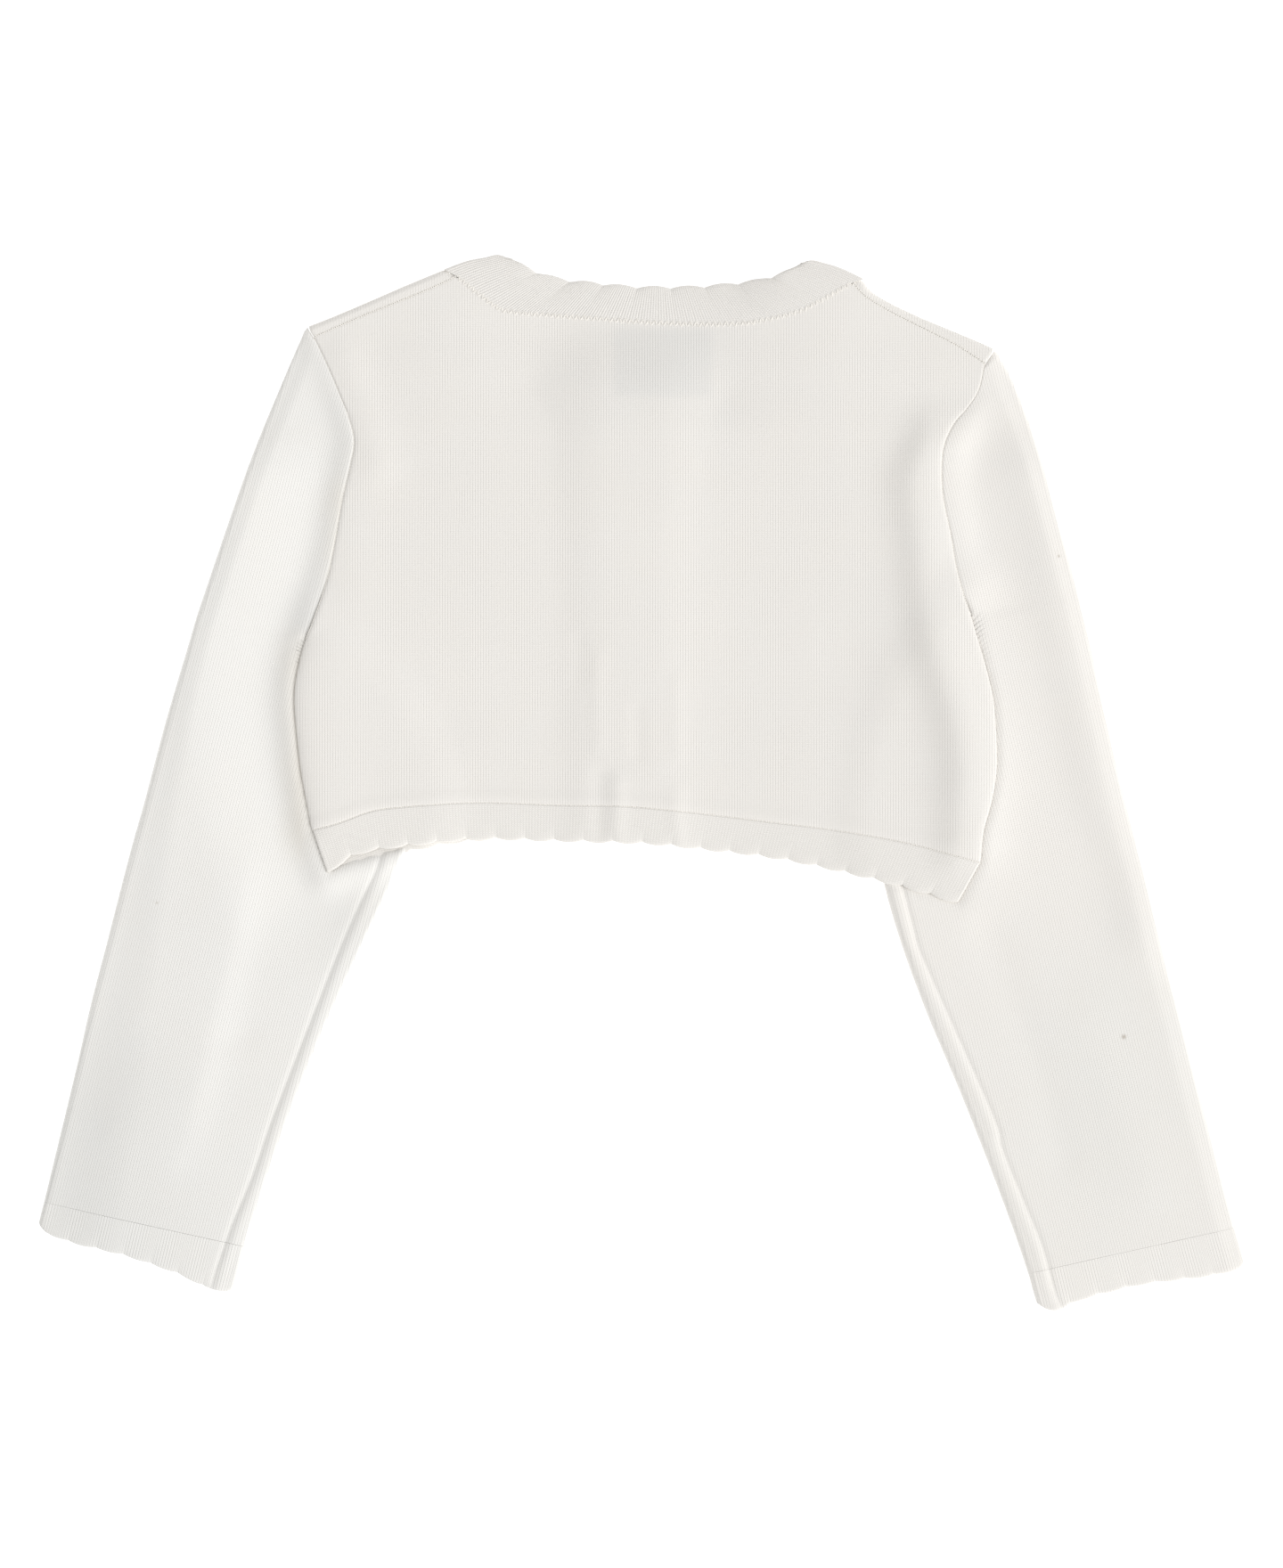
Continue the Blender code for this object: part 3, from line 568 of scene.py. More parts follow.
KNIT = (0.900, 0.875, 0.838)
BACK_KNIT = (0.872, 0.848, 0.812)
BAND_KNIT = (0.888, 0.861, 0.821)
LEFT_KNIT = (0.890, 0.878, 0.850)
HEM_KNIT = (0.864, 0.837, 0.795)
SEWING = (0.880, 0.850, 0.800)
TAPE = (0.50, 0.50, 0.50)
PEARL = (0.86, 0.84, 0.80)
PEARL_CLOUD = (0.78, 0.77, 0.75)
PAPER = (0.92, 0.92, 0.92)
PAPER_GLOW = 0.5

# Cloth, as the solids have it
WALL = 1.5
RIB_WALL = 2.0
LABEL_WALL = 1.0
SEAM_GAP = 0.12
LINK_LAP = 0.02
LAYER_GAP = 0.4
LABEL_GAP = 0.7
FOLD_RADIUS = 1.5
FOLD_STEPS = 4
SLEEVE_SPACE = 0.7
TUCK_HEIGHT = 2 * WALL + SLEEVE_SPACE + 0.6
BACK_CLEAR = 0.7
BUTTON_HEIGHT = 1.6
OUTER_BAND_Z = BUTTON_HEIGHT + 0.3
INNER_BAND_Z = OUTER_BAND_Z + WALL + LAYER_GAP
BAND_X = (-12.0, 4.0)
BAND_WIDTH = BAND_X[1] - BAND_X[0]
OPENING_X = sum(BAND_X) / 2
LIP = 0.9
SEAM_LIP = 0.3
CUFF_LIP = 0.06
SCALLOP_DEPTH = 1.2
SCALLOP_ROUND = 0.8
RIB_PITCH = 1.2
RIB_SAMPLES = 5
RIB_ROUND = 0.7
BAND_RIB = 0.08
NECK_RIB = 0.24
RIM_FADE = 1.6
PUCKER_REACH = 3.2
TINY = 1e-9

# Outlines of the back, each a short table of x and y
HEM_SEAM = ((-132.5, -18.4), (-122.0, -15.6), (-109.3, -11.0), (-96.5, -9.2), (-67.0, -7.4),
            (-33.8, -8.4), (-7.2, -8.9), (20.2, -11.4), (50.8, -15.1), (77.4, -18.4),
            (103.7, -23.0), (124.9, -28.3), (136.4, -31.5))
HEM_EDGE = ((-126.7, -35.6), (-119.2, -29.8), (-111.2, -26.6), (-95.0, -24.2), (-67.3, -21.6),
            (-30.2, -22.4), (0.0, -23.3), (21.6, -25.3), (56.2, -29.6), (90.7, -37.0),
            (115.2, -43.6), (127.6, -47.6))
NECK_JOINT = ((-74.5, 204.8), (-63.7, 196.2), (-55.0, 190.9), (-35.6, 188.9), (-17.3, 187.6),
              (4.0, 186.1), (25.0, 185.4), (43.0, 186.0), (61.6, 190.0), (72.0, 194.8),
              (79.0, 198.8), (85.3, 202.3))
NECK_EDGE = ((-54.3, 212.0), (-42.9, 206.3), (-31.1, 203.0), (-18.0, 201.6), (-4.7, 200.3),
             (8.9, 200.0), (23.2, 200.3), (35.6, 201.3), (49.0, 203.2), (60.5, 207.0),
             (64.4, 210.0))


@dataclass(frozen=True)
class Outlines:
    """The outlines that one side of the garment has of its own, from its middle outwards or up."""

    side: Table
    armhole: Table
    seam: Table
    fold: Table
    neck_fold: Table
    front_hem: Table
    front_joint: Table
    front_edge: Table
    sleeve_rows: Table
    sleeve_head: Table
    sleeve_top: tuple[float, float]
    cuff_edge: Table
    underarm: Table
    band_seam: float
    band_z: float


LEFT = Outlines(
    side=((-132.5, -18.4), (-134.3, -9.4), (-137.0, 5.4), (-138.4, 18.0), (-139.6, 32.0),
          (-139.0, 42.1), (-136.6, 52.9), (-135.0, 58.3)),
    armhole=((-135.0, 58.3), (-131.4, 67.5), (-126.4, 83.0), (-123.1, 99.4), (-120.4, 114.8),
             (-117.0, 129.5), (-115.7, 138.4), (-117.7, 147.2), (-121.5, 157.0),
             (-126.6, 169.0), (-132.1, 180.4)),
    seam=((-132.1, 180.4), (-115.5, 187.6), (-100.0, 193.9), (-86.4, 199.4), (-74.5, 204.8)),
    fold=((-134.4, 184.7), (-123.8, 188.9), (-109.0, 195.2), (-94.7, 201.4), (-78.4, 208.1)),
    neck_fold=((-79.8, 207.6), (-70.6, 211.0), (-63.4, 212.4), (-58.0, 213.6), (-54.3, 212.0)),
    front_hem=((-126.2, -36.4), (-118.4, -33.4), (-109.6, -31.0), (-97.9, -28.0),
               (-86.0, -24.8), (-60.0, -21.6), (-12.0, -20.4)),
    front_joint=((-78.9, 205.8), (-73.5, 196.0), (-68.5, 181.0), (-60.5, 164.5),
                 (-48.0, 151.5), (-32.0, 142.5), (-12.4, 138.0)),
    front_edge=((-55.3, 210.6), (-57.0, 203.0), (-54.5, 189.0), (-48.0, 174.0), (-38.0, 162.5),
                (-26.0, 155.5), (-12.4, 152.5)),
    sleeve_rows=(
        # outer x, outer y, inner x, inner y
        (-179.6, 67.7, -135.6, 57.8),
        (-183.6, 54.0, -118.8, 44.3),
        (-187.9, 39.6, -104.4, 28.8),
        (-192.6, 23.4, -92.9, 9.8),
        (-196.9, 7.2, -88.4, -8.2),
        (-201.2, -9.0, -91.0, -21.6),
        (-204.8, -21.6, -95.8, -29.8),
        (-208.4, -35.0, -101.5, -43.2),
        (-215.3, -61.9, -114.5, -72.0),
        (-222.3, -88.9, -127.4, -100.8),
        (-228.4, -115.6, -139.0, -129.6),
        (-234.9, -142.6, -149.4, -158.4),
        (-241.2, -168.6, -159.0, -186.6),
    ),
    sleeve_head=((-179.6, 67.7), (-168.4, 100.8), (-157.0, 133.0), (-144.0, 164.6),
                 (-135.2, 184.9)),
    sleeve_top=(-132.6, 180.1),
    cuff_edge=((-243.2, -179.4), (-229.7, -184.6), (-208.4, -189.8), (-187.2, -197.0),
               (-176.0, -202.3), (-164.4, -205.0)),
    underarm=((-104.4, -28.8), (-122.0, -68.0), (-146.5, -129.6), (-152.0, -144.7),
              (-156.8, -158.4), (-164.4, -176.4), (-168.2, -186.8), (-171.3, -195.8),
              (-173.0, -202.0)),
    band_seam=BAND_X[0],
    band_z=INNER_BAND_Z,
)
RIGHT = Outlines(
    side=((136.4, -31.5), (137.6, -19.1), (140.6, -8.0), (142.8, 5.0), (142.6, 21.6),
          (141.4, 34.9), (138.6, 47.0), (135.2, 58.5), (132.5, 68.0)),
    armhole=((132.5, 68.0), (129.6, 76.0), (126.6, 88.2), (124.4, 101.0), (121.6, 114.5),
             (120.8, 124.5), (121.6, 135.5), (125.6, 144.7), (131.4, 151.6), (136.0, 159.0),
             (138.4, 169.7)),
    seam=((138.4, 169.7), (127.0, 177.0), (115.0, 183.2), (100.7, 190.4), (90.0, 197.0),
          (85.3, 202.3)),
    fold=((142.3, 175.7), (134.0, 179.4), (122.0, 184.4), (107.6, 190.6), (94.0, 197.9),
          (88.6, 204.3)),
    neck_fold=((89.9, 203.8), (80.5, 208.2), (74.0, 210.2), (68.4, 211.4), (64.4, 210.0)),
    front_hem=((127.2, -46.8), (100.0, -37.5), (70.0, -29.8), (40.0, -25.2), (4.0, -20.6)),
    front_joint=((88.2, 201.8), (82.8, 193.0), (77.5, 178.0), (68.0, 162.5), (52.5, 150.5),
                 (31.0, 141.5), (4.4, 138.0)),
    front_edge=((65.6, 208.6), (68.0, 202.0), (65.0, 187.0), (57.5, 172.5), (46.0, 161.5),
                (28.0, 155.0), (4.4, 152.5)),
    sleeve_rows=(
        # outer x, outer y, inner x, inner y
        (177.8, 74.9, 133.1, 67.4),
        (180.6, 63.0, 118.8, 52.2),
        (183.4, 50.4, 107.3, 32.4),
        (186.8, 34.2, 99.4, 10.8),
        (190.8, 16.2, 95.8, -10.8),
        (194.9, -1.8, 96.2, -28.8),
        (199.1, -18.0, 98.6, -43.2),
        (205.2, -41.4, 105.4, -66.1),
        (211.5, -68.4, 115.6, -93.6),
        (218.4, -95.4, 127.8, -122.4),
        (225.7, -124.2, 139.3, -151.2),
        (233.3, -153.0, 150.1, -180.0),
        (240.0, -178.8, 156.0, -197.4),
    ),
    sleeve_head=((177.8, 74.9), (170.6, 100.8), (161.5, 133.0), (150.4, 162.0),
                 (142.9, 175.6)),
    sleeve_top=(139.1, 169.7),
    cuff_edge=((243.8, -194.6), (228.0, -198.2), (201.6, -201.6), (178.9, -207.2),
               (168.0, -211.6), (160.4, -211.2)),
    underarm=((104.0, -36.0), (110.0, -59.6), (114.1, -71.6), (141.8, -133.7), (145.2, -146.2),
              (154.1, -168.1), (161.6, -186.1), (166.6, -204.0), (169.9, -211.6)),
    band_seam=BAND_X[1],
    band_z=OUTER_BAND_Z,
)
SIDES = {Side.LEFT: LEFT, Side.RIGHT: RIGHT}


def beside_band(side: Side) -> float:
    """Where a front and its hem stop beside the front band, in X."""
    return SIDES[side].band_seam + side.value * SEAM_GAP


def smooth_step(value: np.ndarray | float) -> np.ndarray:
    """0 to 1 with level ends."""
    part = np.clip(value, 0.0, 1.0)
    return part * part * (3.0 - 2.0 * part)


def dense_path(points: Sequence[Sequence[float]], steps: int = 12) -> np.ndarray:
    """Points along a Catmull-Rom curve through a short table.

    Args:
        points: The table.
        steps: How many points each of its stretches gets.

    Returns:
        The points, one a row.
    """
    table = np.array(points, dtype=float)
    ends = np.vstack([2 * table[0] - table[1], table, 2 * table[-1] - table[-2]])
    t = (np.arange(steps) / steps)[:, None]
    line = []
    for before, start, end, after in zip(ends[:-3], ends[1:-2], ends[2:-1], ends[3:]):
        line.append(0.5 * (2 * start + (end - before) * t
                           + (2 * before - 5 * start + 4 * end - after) * t ** 2
                           + (3 * start - before - 3 * end + after) * t ** 3))
    return np.vstack(line + [table[-1:]])


def even(steps: int) -> np.ndarray:
    """Even fractions from 0 to 1."""
    return np.linspace(0.0, 1.0, steps + 1)


def lengths(points: np.ndarray, axis: int = 0) -> np.ndarray:
    """Distance of each point from the first one, along a line of points or an axis of a grid."""
    steps = np.linalg.norm(np.diff(points, axis=axis), axis=-1)
    pad = [(1 if axis == k else 0, 0) for k in range(steps.ndim)]
    return np.pad(np.cumsum(steps, axis=axis), pad)


def at_fractions(points: Sequence[Sequence[float]], fractions: np.ndarray) -> np.ndarray:
    """Points at the given fractions of the smooth curve's length."""
    line = dense_path(points)
    along = lengths(line)
    wanted = np.asarray(fractions) * along[-1]
    return np.stack([np.interp(wanted, along, line[:, k]) for k in range(line.shape[1])], axis=1)


def across(points: Sequence[Sequence[float]], start: float, end: float,
           fractions: np.ndarray) -> np.ndarray:
    """Points of a curve that runs along X, at fractions of the way between two places in X."""
    line = dense_path(points)
    places = start + (end - start) * np.asarray(fractions)
    return np.stack([places, np.interp(places, line[:, 0], line[:, 1])], axis=1)


def moved(line: np.ndarray, distance: np.ndarray | float) -> np.ndarray:
    """A line moved to its left, in plan, by a distance."""
    ahead = np.gradient(line, axis=0)
    ahead /= np.maximum(np.linalg.norm(ahead, axis=1), TINY)[:, None]
    left = np.stack([-ahead[:, 1], ahead[:, 0]], axis=1)
    return line + np.reshape(distance, (-1, 1)) * left


def spread(count: int, length: float, lip: float = LIP) -> np.ndarray:
    """Fractions of a length, even but for a few more close to both ends, where a lip is rounded.

    Args:
        count: How many even steps there are.
        length: The length in millimetres.
        lip: How far in from its ends the rounding reaches.

    Returns:
        The fractions, from 0 to 1.
    """
    near = np.array([0.0, 0.07, 0.3]) * lip / length
    middle = np.linspace(lip / length, 1.0 - lip / length, count + 1)
    return np.concatenate([near, middle, 1.0 - near[::-1]])


def lip_weight(distance: np.ndarray, lip: np.ndarray | float,
               least: float = 0.12) -> np.ndarray:
    """How thick a wall is near an edge that is rounded over a lip, from least at the edge to 1."""
    inward = np.clip(distance / np.maximum(lip, TINY), 0.0, 1.0)
    weight = least + (1.0 - least) * np.sqrt(1.0 - (1.0 - inward) ** 2)
    return np.where(np.asarray(lip) > 0.0, weight, 1.0)


@dataclass(frozen=True)
class Edge:
    """One side of a piece: curves that follow on each other, each with its share of the steps."""

    curves: tuple[Sequence[Sequence[float]], ...]
    shares: tuple[float, ...] = (1.0,)

    def at(self, fractions: np.ndarray) -> np.ndarray:
        """Points of the side.

        Args:
            fractions: Places from 0 to 1 along the side, counted in shares.

        Returns:
            The points, one a row.
        """
        bounds = np.concatenate([[0.0], np.cumsum(self.shares)]) / sum(self.shares)
        points = np.zeros((len(fractions), 2))
        for curve, start, end in zip(self.curves, bounds[:-1], bounds[1:]):
            chosen = (fractions >= start - TINY) & (fractions <= end + TINY)
            local = np.clip((fractions[chosen] - start) / (end - start), 0.0, 1.0)
            points[chosen] = at_fractions(curve, local)
        return points


def patch(bottom: np.ndarray, top: np.ndarray, left: np.ndarray, right: np.ndarray,
          u: np.ndarray, v: np.ndarray, fade: float = 4.0) -> np.ndarray:
    """A grid of points that fills four edges.

    Args:
        bottom: Its bottom edge, one point a column.
        top: Its top edge.
        left: Its left edge, one point a row.
        right: Its right edge.
        u: Each column's place from 0 to 1.
        v: Each row's place from 0 to 1.
        fade: How quickly the bulges of the two sides fade inwards.

    Returns:
        The grid, row by row from the bottom.
    """
    u, v = u[None, :, None], v[:, None, None]
    ruled = bottom[None] * (1.0 - v) + top[None] * v
    return (ruled + (1.0 - u) ** fade * (left[:, None] - ruled[:, :1])
            + u ** fade * (right[:, None] - ruled[:, -1:]))


def path_distance(points: np.ndarray, line: np.ndarray) -> np.ndarray:
    """Distance in plan of each point from a line of points."""
    flat = points.reshape(-1, 2)
    start, run = line[:-1], np.diff(line, axis=0)
    offset = flat[:, None, :] - start
    reach = (offset * run).sum(axis=2) / np.maximum((run ** 2).sum(axis=1), TINY)
    nearest = np.clip(reach, 0.0, 1.0)[..., None] * run
    distance = np.linalg.norm(offset - nearest, axis=2).min(axis=1)
    return distance.reshape(points.shape[:-1])


def inside(points: np.ndarray, outline: np.ndarray) -> np.ndarray:
    """Whether each point lies inside a closed outline, in plan."""
    x, y = points[..., 0], points[..., 1]
    found = np.zeros(x.shape, dtype=bool)
    for (x0, y0), (x1, y1) in zip(outline, np.roll(outline, 1, axis=0)):
        if y0 == y1:
            continue
        crossing = x0 + (y - y0) / (y1 - y0) * (x1 - x0)
        found ^= ((y0 > y) != (y1 > y)) & (x < crossing)
    return found


@dataclass(frozen=True)
class Fold:
    """A long soft ridge, or a trough where its height is below zero."""

    path: Table
    height: float
    half: float

    def at(self, points: np.ndarray) -> np.ndarray:
        """How far the fold lifts the cloth at each point."""
        distance = path_distance(points, dense_path(self.path, 5))
        return self.height * np.exp(-(distance / self.half) ** 2)


@dataclass(frozen=True)
class Drape:
    """A long ridge down the cloth that falls away differently on its two sides."""

    crest: Table
    height: float
    left: float
    right: float
    fade: float = 24.0

    def at(self, points: np.ndarray) -> np.ndarray:
        """How far the ridge lifts the cloth at each point."""
        line = dense_path(self.crest, 6)
        x, y = points[..., 0], points[..., 1]
        away = x - np.interp(-y, -line[:, 1], line[:, 0])
        half = np.where(away < 0.0, self.left, self.right)
        from_top, from_foot = line[0, 1] - y, y - line[-1, 1]
        ends = smooth_step(from_top / self.fade) * smooth_step(from_foot / self.fade)
        return self.height * ends * np.exp(-(away / half) ** 2)


def lifted_by(points: np.ndarray, folds: Sequence[Fold | Drape]) -> np.ndarray:
    """The sum of several folds at each point."""
    total = np.zeros(points.shape[:-1])
    for fold in folds:
        total += fold.at(points)
    return total


BACK_FOLDS = (
    # the fold beside the right armhole, which runs out along the right side
    Drape(((119.0, 158.0), (116.5, 140.0), (111.0, 122.0), (113.0, 101.0), (115.8, 72.0),
           (120.4, 50.0), (127.0, 29.0), (130.4, 7.0), (129.6, -14.0), (128.0, -44.0)),
          3.1, 9.5, 16.0),
    Drape(((120.0, 70.0), (125.0, 40.0), (128.0, 15.0), (129.0, -20.0)), 0.8, 13.0, 12.0, 22.0),
    # the left side, which swells up to its edge
    Fold(((-120.0, 172.0), (-111.0, 148.0), (-107.0, 130.0)), 0.9, 9.0),
    Fold(((-112.0, 122.0), (-118.0, 76.0), (-126.0, 36.0), (-125.0, -6.0)), 0.5, 13.0),
    # the front bands and the opening, felt through the back
    Fold(((-17.0, 52.0), (-18.0, 34.0), (-17.0, 16.0)), 0.22, 2.8),
    Fold(((-25.0, 58.0), (-25.4, 42.0)), -0.2, 2.8),
    Fold(((-1.6, 30.0), (-1.2, 12.0)), -0.26, 3.0),
    Fold(((14.0, 40.0), (14.6, 12.0)), 0.22, 3.0),
    Fold(((-16.6, 4.0), (-17.4, -24.0)), -0.45, 3.8),
    Fold(((-9.4, 0.0), (-10.2, -24.0)), 0.5, 3.6),
    Fold(((14.0, -4.0), (14.4, -24.0)), 0.4, 3.6),
    # slack across the middle
    Fold(((-60.0, 118.0), (-20.0, 110.0), (30.0, 116.0)), 0.35, 16.0),
    Fold(((-88.0, 20.0), (-60.0, 34.0), (-40.0, 28.0)), -0.25, 12.0),
    Fold(((40.0, 60.0), (66.0, 44.0), (84.0, 52.0)), -0.25, 13.0),
)
FRONT_FOLDS = {
    Side.LEFT: (
        Fold(((-96.0, 96.0), (-104.0, 58.0), (-100.0, 20.0)), 0.5, 9.0),
        Fold(((-44.0, 120.0), (-36.0, 70.0), (-40.0, 22.0)), 0.4, 8.0),
    ),
    Side.RIGHT: (
        Fold(((98.0, 104.0), (92.0, 62.0), (97.0, 16.0)), 0.5, 9.0),
        Fold(((48.0, 112.0), (40.0, 66.0), (44.0, 14.0)), 0.4, 8.0),
    ),
}
SLEEVE_FOLDS = {
    Side.LEFT: (
        Drape(((-160.0, -10.0), (-166.0, -60.0), (-178.0, -110.0), (-192.0, -170.0)),
              1.5, 30.0, 10.0, 50.0),
        Fold(((-196.0, -96.0), (-178.0, -104.0), (-160.0, -102.0)), -0.3, 6.0),
        Fold(((-212.0, -140.0), (-190.0, -150.0)), 0.3, 6.0),
    ),
    Side.RIGHT: (
        # the ridge whose shaded side runs down the middle of the sleeve
        Drape(((153.0, 150.0), (158.0, 122.0), (164.0, 101.0), (168.5, 72.0), (173.0, 50.0),
               (178.5, 29.0), (183.0, 7.0), (189.0, -14.0), (199.0, -40.0), (206.0, -84.0)),
              1.6, 11.0, 20.0, 26.0),
        Fold(((140.0, -60.0), (158.0, -110.0), (170.0, -150.0)), -0.4, 8.0),
        Fold(((180.0, -96.0), (203.0, -160.0)), 0.4, 12.0),
    ),
}


def soft_max(first: np.ndarray, second: np.ndarray, soft: float) -> np.ndarray:
    """The larger of two heights, blended over a soft range where they are close."""
    return (first + second + np.sqrt((first - second) ** 2 + soft ** 2)) / 2


@dataclass(frozen=True)
class Layers:
    """Heights of the undersides of the cloth that lies layer on layer."""

    tuck_margin: float = 2.0
    band_slope: float = 30.0
    bridge_slope: float = 46.0
    bridge_soft: float = 0.5
    neck_slope: float = 30.0
    neck_half: float = 48.0
    neck_top: float = 157.8
    side_roll: Pair = Pair(1.2, 0.3)
    side_reach: Pair = Pair(8.0, 3.0)
    places: tuple[float, ...] = (-140.0, -115.0, -75.0, -35.0, -4.0, 35.0, 75.0, 115.0, 140.0)
    levels: Table = (
        # y, then the height of the back at each place
        (-60.0, 6.0, 5.9, 5.3, 4.9, 5.7, 4.9, 5.3, 5.9, 6.0),
        (0.0, 6.0, 6.0, 5.3, 4.9, 5.7, 4.9, 5.4, 6.0, 6.0),
        (50.0, 6.0, 5.6, 5.1, 4.9, 5.7, 4.9, 5.1, 5.6, 6.0),
        (100.0, 3.8, 4.6, 4.9, 4.8, 5.6, 4.8, 4.9, 4.8, 3.8),
        (140.0, 3.6, 4.2, 4.6, 4.4, 5.4, 4.4, 4.6, 4.2, 3.6),
        (164.0, 2.7, 3.3, 4.0, 3.2, 3.5, 3.2, 4.0, 3.2, 2.6),
        (186.0, 2.2, 2.3, 3.2, 2.2, 1.9, 2.2, 3.2, 2.2, 2.2),
        (215.0, 2.2, 2.2, 2.4, 1.4, 1.0, 1.4, 2.4, 2.2, 2.2),
    )

    def tuck(self, points: np.ndarray, slope: float = 18.0) -> np.ndarray:
        """How far a sleeve that lies underneath lifts the cloth at each point.

        Args:
            points: The points in plan.
            slope: How far past the sleeve the cloth takes to come down.

        Returns:
            The height at each point.
        """
        height = np.zeros(points.shape[:-1])
        for side, outlines in SIDES.items():
            rows = np.array(outlines.sleeve_rows)
            outer, inner = dense_path(rows[:, :2], 3), dense_path(rows[:, 2:], 3)
            here = points[..., 0] * side.value > 0
            chosen = points[here]
            near = smooth_step(1.0 - (path_distance(chosen, inner) - self.tuck_margin)
                               / slope)
            covered = inside(chosen, np.vstack([outer, inner[::-1]]))
            height[here] = TUCK_HEIGHT * np.where(covered, 1.0, near)
        return height

    def front(self, points: np.ndarray, side: Side) -> np.ndarray:
        """The underside of one front at each point."""
        away = side.value * (points[..., 0] - SIDES[side].band_seam)
        slope = SIDES[side].band_z * smooth_step(1.0 - away / self.band_slope)
        return np.maximum(self.tuck(points), slope)

    def table(self, points: np.ndarray) -> np.ndarray:
        """The back's height at each point, read smoothly from the table."""
        rows = np.array(self.levels)
        x = np.clip(points[..., 0], self.places[0], self.places[-1])
        y = np.clip(points[..., 1], rows[0, 0], rows[-1, 0])
        column = np.clip(np.searchsorted(self.places, x, side="right") - 1, 0,
                         len(self.places) - 2)
        row = np.clip(np.searchsorted(rows[:, 0], y, side="right") - 1, 0, len(rows) - 2)
        places = np.array(self.places)
        u = smooth_step((x - places[column]) / (places[column + 1] - places[column]))
        v = smooth_step((y - rows[row, 0]) / (rows[row + 1, 0] - rows[row, 0]))
        low = rows[row, column + 1] * (1.0 - u) + rows[row, column + 2] * u
        high = rows[row + 1, column + 1] * (1.0 - u) + rows[row + 1, column + 2] * u
        return low * (1.0 - v) + high * v

    def back(self, points: np.ndarray) -> np.ndarray:
        """The underside of the back at each point, clear of what lies under it."""
        beyond_neckband = points[..., 1] - self.neck_top
        beside = np.abs(points[..., 0] - OPENING_X) - BAND_WIDTH / 2
        opening = INNER_BAND_Z * smooth_step(1.0 - (beside - self.tuck_margin)
                                             / self.bridge_slope)
        opening = opening * smooth_step(1.0 - beyond_neckband / self.neck_slope)
        open_neck = (smooth_step((beyond_neckband - self.neck_slope / 2) / self.neck_slope)
                     * smooth_step((self.neck_half - np.abs(points[..., 0])) / self.neck_slope))
        least = soft_max(self.tuck(points, self.bridge_slope), opening, self.bridge_soft)
        table = self.table(points)
        bridged = soft_max(table, least + WALL + BACK_CLEAR, self.bridge_soft)
        return table * open_neck + bridged * (1.0 - open_neck)

    def back_creased(self, points: np.ndarray) -> np.ndarray:
        """The underside of the back with its creases and its rolled sides."""
        drop = np.zeros(points.shape[:-1])
        for side, outlines in SIDES.items():
            distance = path_distance(points, dense_path(outlines.side, 4))
            near = 1.0 - np.clip(distance / self.side_reach.of(side), 0.0, 1.0)
            drop += self.side_roll.of(side) * (1.0 - np.sqrt(1.0 - near ** 2))
        return self.back(points) + lifted_by(points, BACK_FOLDS) - drop


LAYERS = Layers()


@dataclass(frozen=True)
class Cut:
    """The size that a piece of cloth is cut or knitted to, flat, in millimetres."""

    width: float
    length: float
    area: float


@dataclass
class Wall:
    """A stretch of cloth about a grid of middle points, whose rows and columns face it outwards."""

    grid: np.ndarray
    knit: np.ndarray
    thickness: float = WALL
    weights: np.ndarray | float = 1.0
    relief: np.ndarray | float = 0.0
    closed: bool = False

    def normals(self) -> np.ndarray:
        """The grid's normals."""
        if self.closed:
            beside = np.roll(self.grid, -1, axis=1) - np.roll(self.grid, 1, axis=1)
        else:
            beside = np.gradient(self.grid, axis=1)
        normal = np.cross(beside, np.gradient(self.grid, axis=0))
        return normal / np.maximum(np.linalg.norm(normal, axis=2), TINY)[..., None]

    def faces(self, index: np.ndarray) -> tuple[np.ndarray, np.ndarray]:
        """The two surfaces of the wall, as points that match one for one."""
        shape = self.grid.shape[:2]
        half = np.broadcast_to(self.thickness / 2 * np.asarray(self.weights), shape)[..., None]
        rise = np.broadcast_to(self.relief, shape)[..., None]
        normals = self.normals()
        outer = self.grid + normals * (half + rise)
        inner = self.grid - normals * half
        return outer[index].reshape(-1, 3), inner[index].reshape(-1, 3)


def grid_quads(index: np.ndarray) -> np.ndarray:
    """The quads between a grid of point numbers."""
    corners = (index[:-1, :-1], index[:-1, 1:], index[1:, 1:], index[1:, :-1])
    return np.stack([corner.ravel() for corner in corners], axis=1)


def build_walls(name: str, walls: Sequence[Wall],
                finish: bpy.types.Material) -> bpy.types.Object:
    """Make one closed wall of one or two stretches of cloth.

    Args:
        name: The object's name.
        walls: The stretches; the second one's first row is the start of the first one's last.
        finish: The material.

    Returns:
        The new object.
    """
    outers, inners, places, quads = [], [], [], []
    count, last_row = 0, None
    for wall in walls:
        start = 0 if last_row is None else 1
        columns = wall.grid.shape[1]
        outer, inner = wall.faces(slice(start, None))
        index = count + np.arange(len(outer)).reshape(-1, columns)
        if last_row is not None:
            index = np.vstack([last_row[:columns], index])
        outers.append(outer)
        inners.append(inner)
        places.append(wall.knit[start:].reshape(-1, 2))
        quads.append(grid_quads(np.hstack([index, index[:, :1]]) if wall.closed else index))
        count, last_row = count + len(outer), index[-1]
    top = np.vstack(quads)
    edges = np.vstack([top[:, [k, (k + 1) % 4]] for k in range(4)])
    known = set(map(tuple, edges.tolist()))
    border = np.array([edge for edge in edges.tolist() if (edge[1], edge[0]) not in known])
    rim = np.stack([border[:, 1], border[:, 0], border[:, 0] + count, border[:, 1] + count],
                   axis=1)
    faces = np.vstack([top, top[:, ::-1] + count, rim]).tolist()
    return solid(name, np.vstack(outers + inners), faces, np.vstack(places * 2), finish)


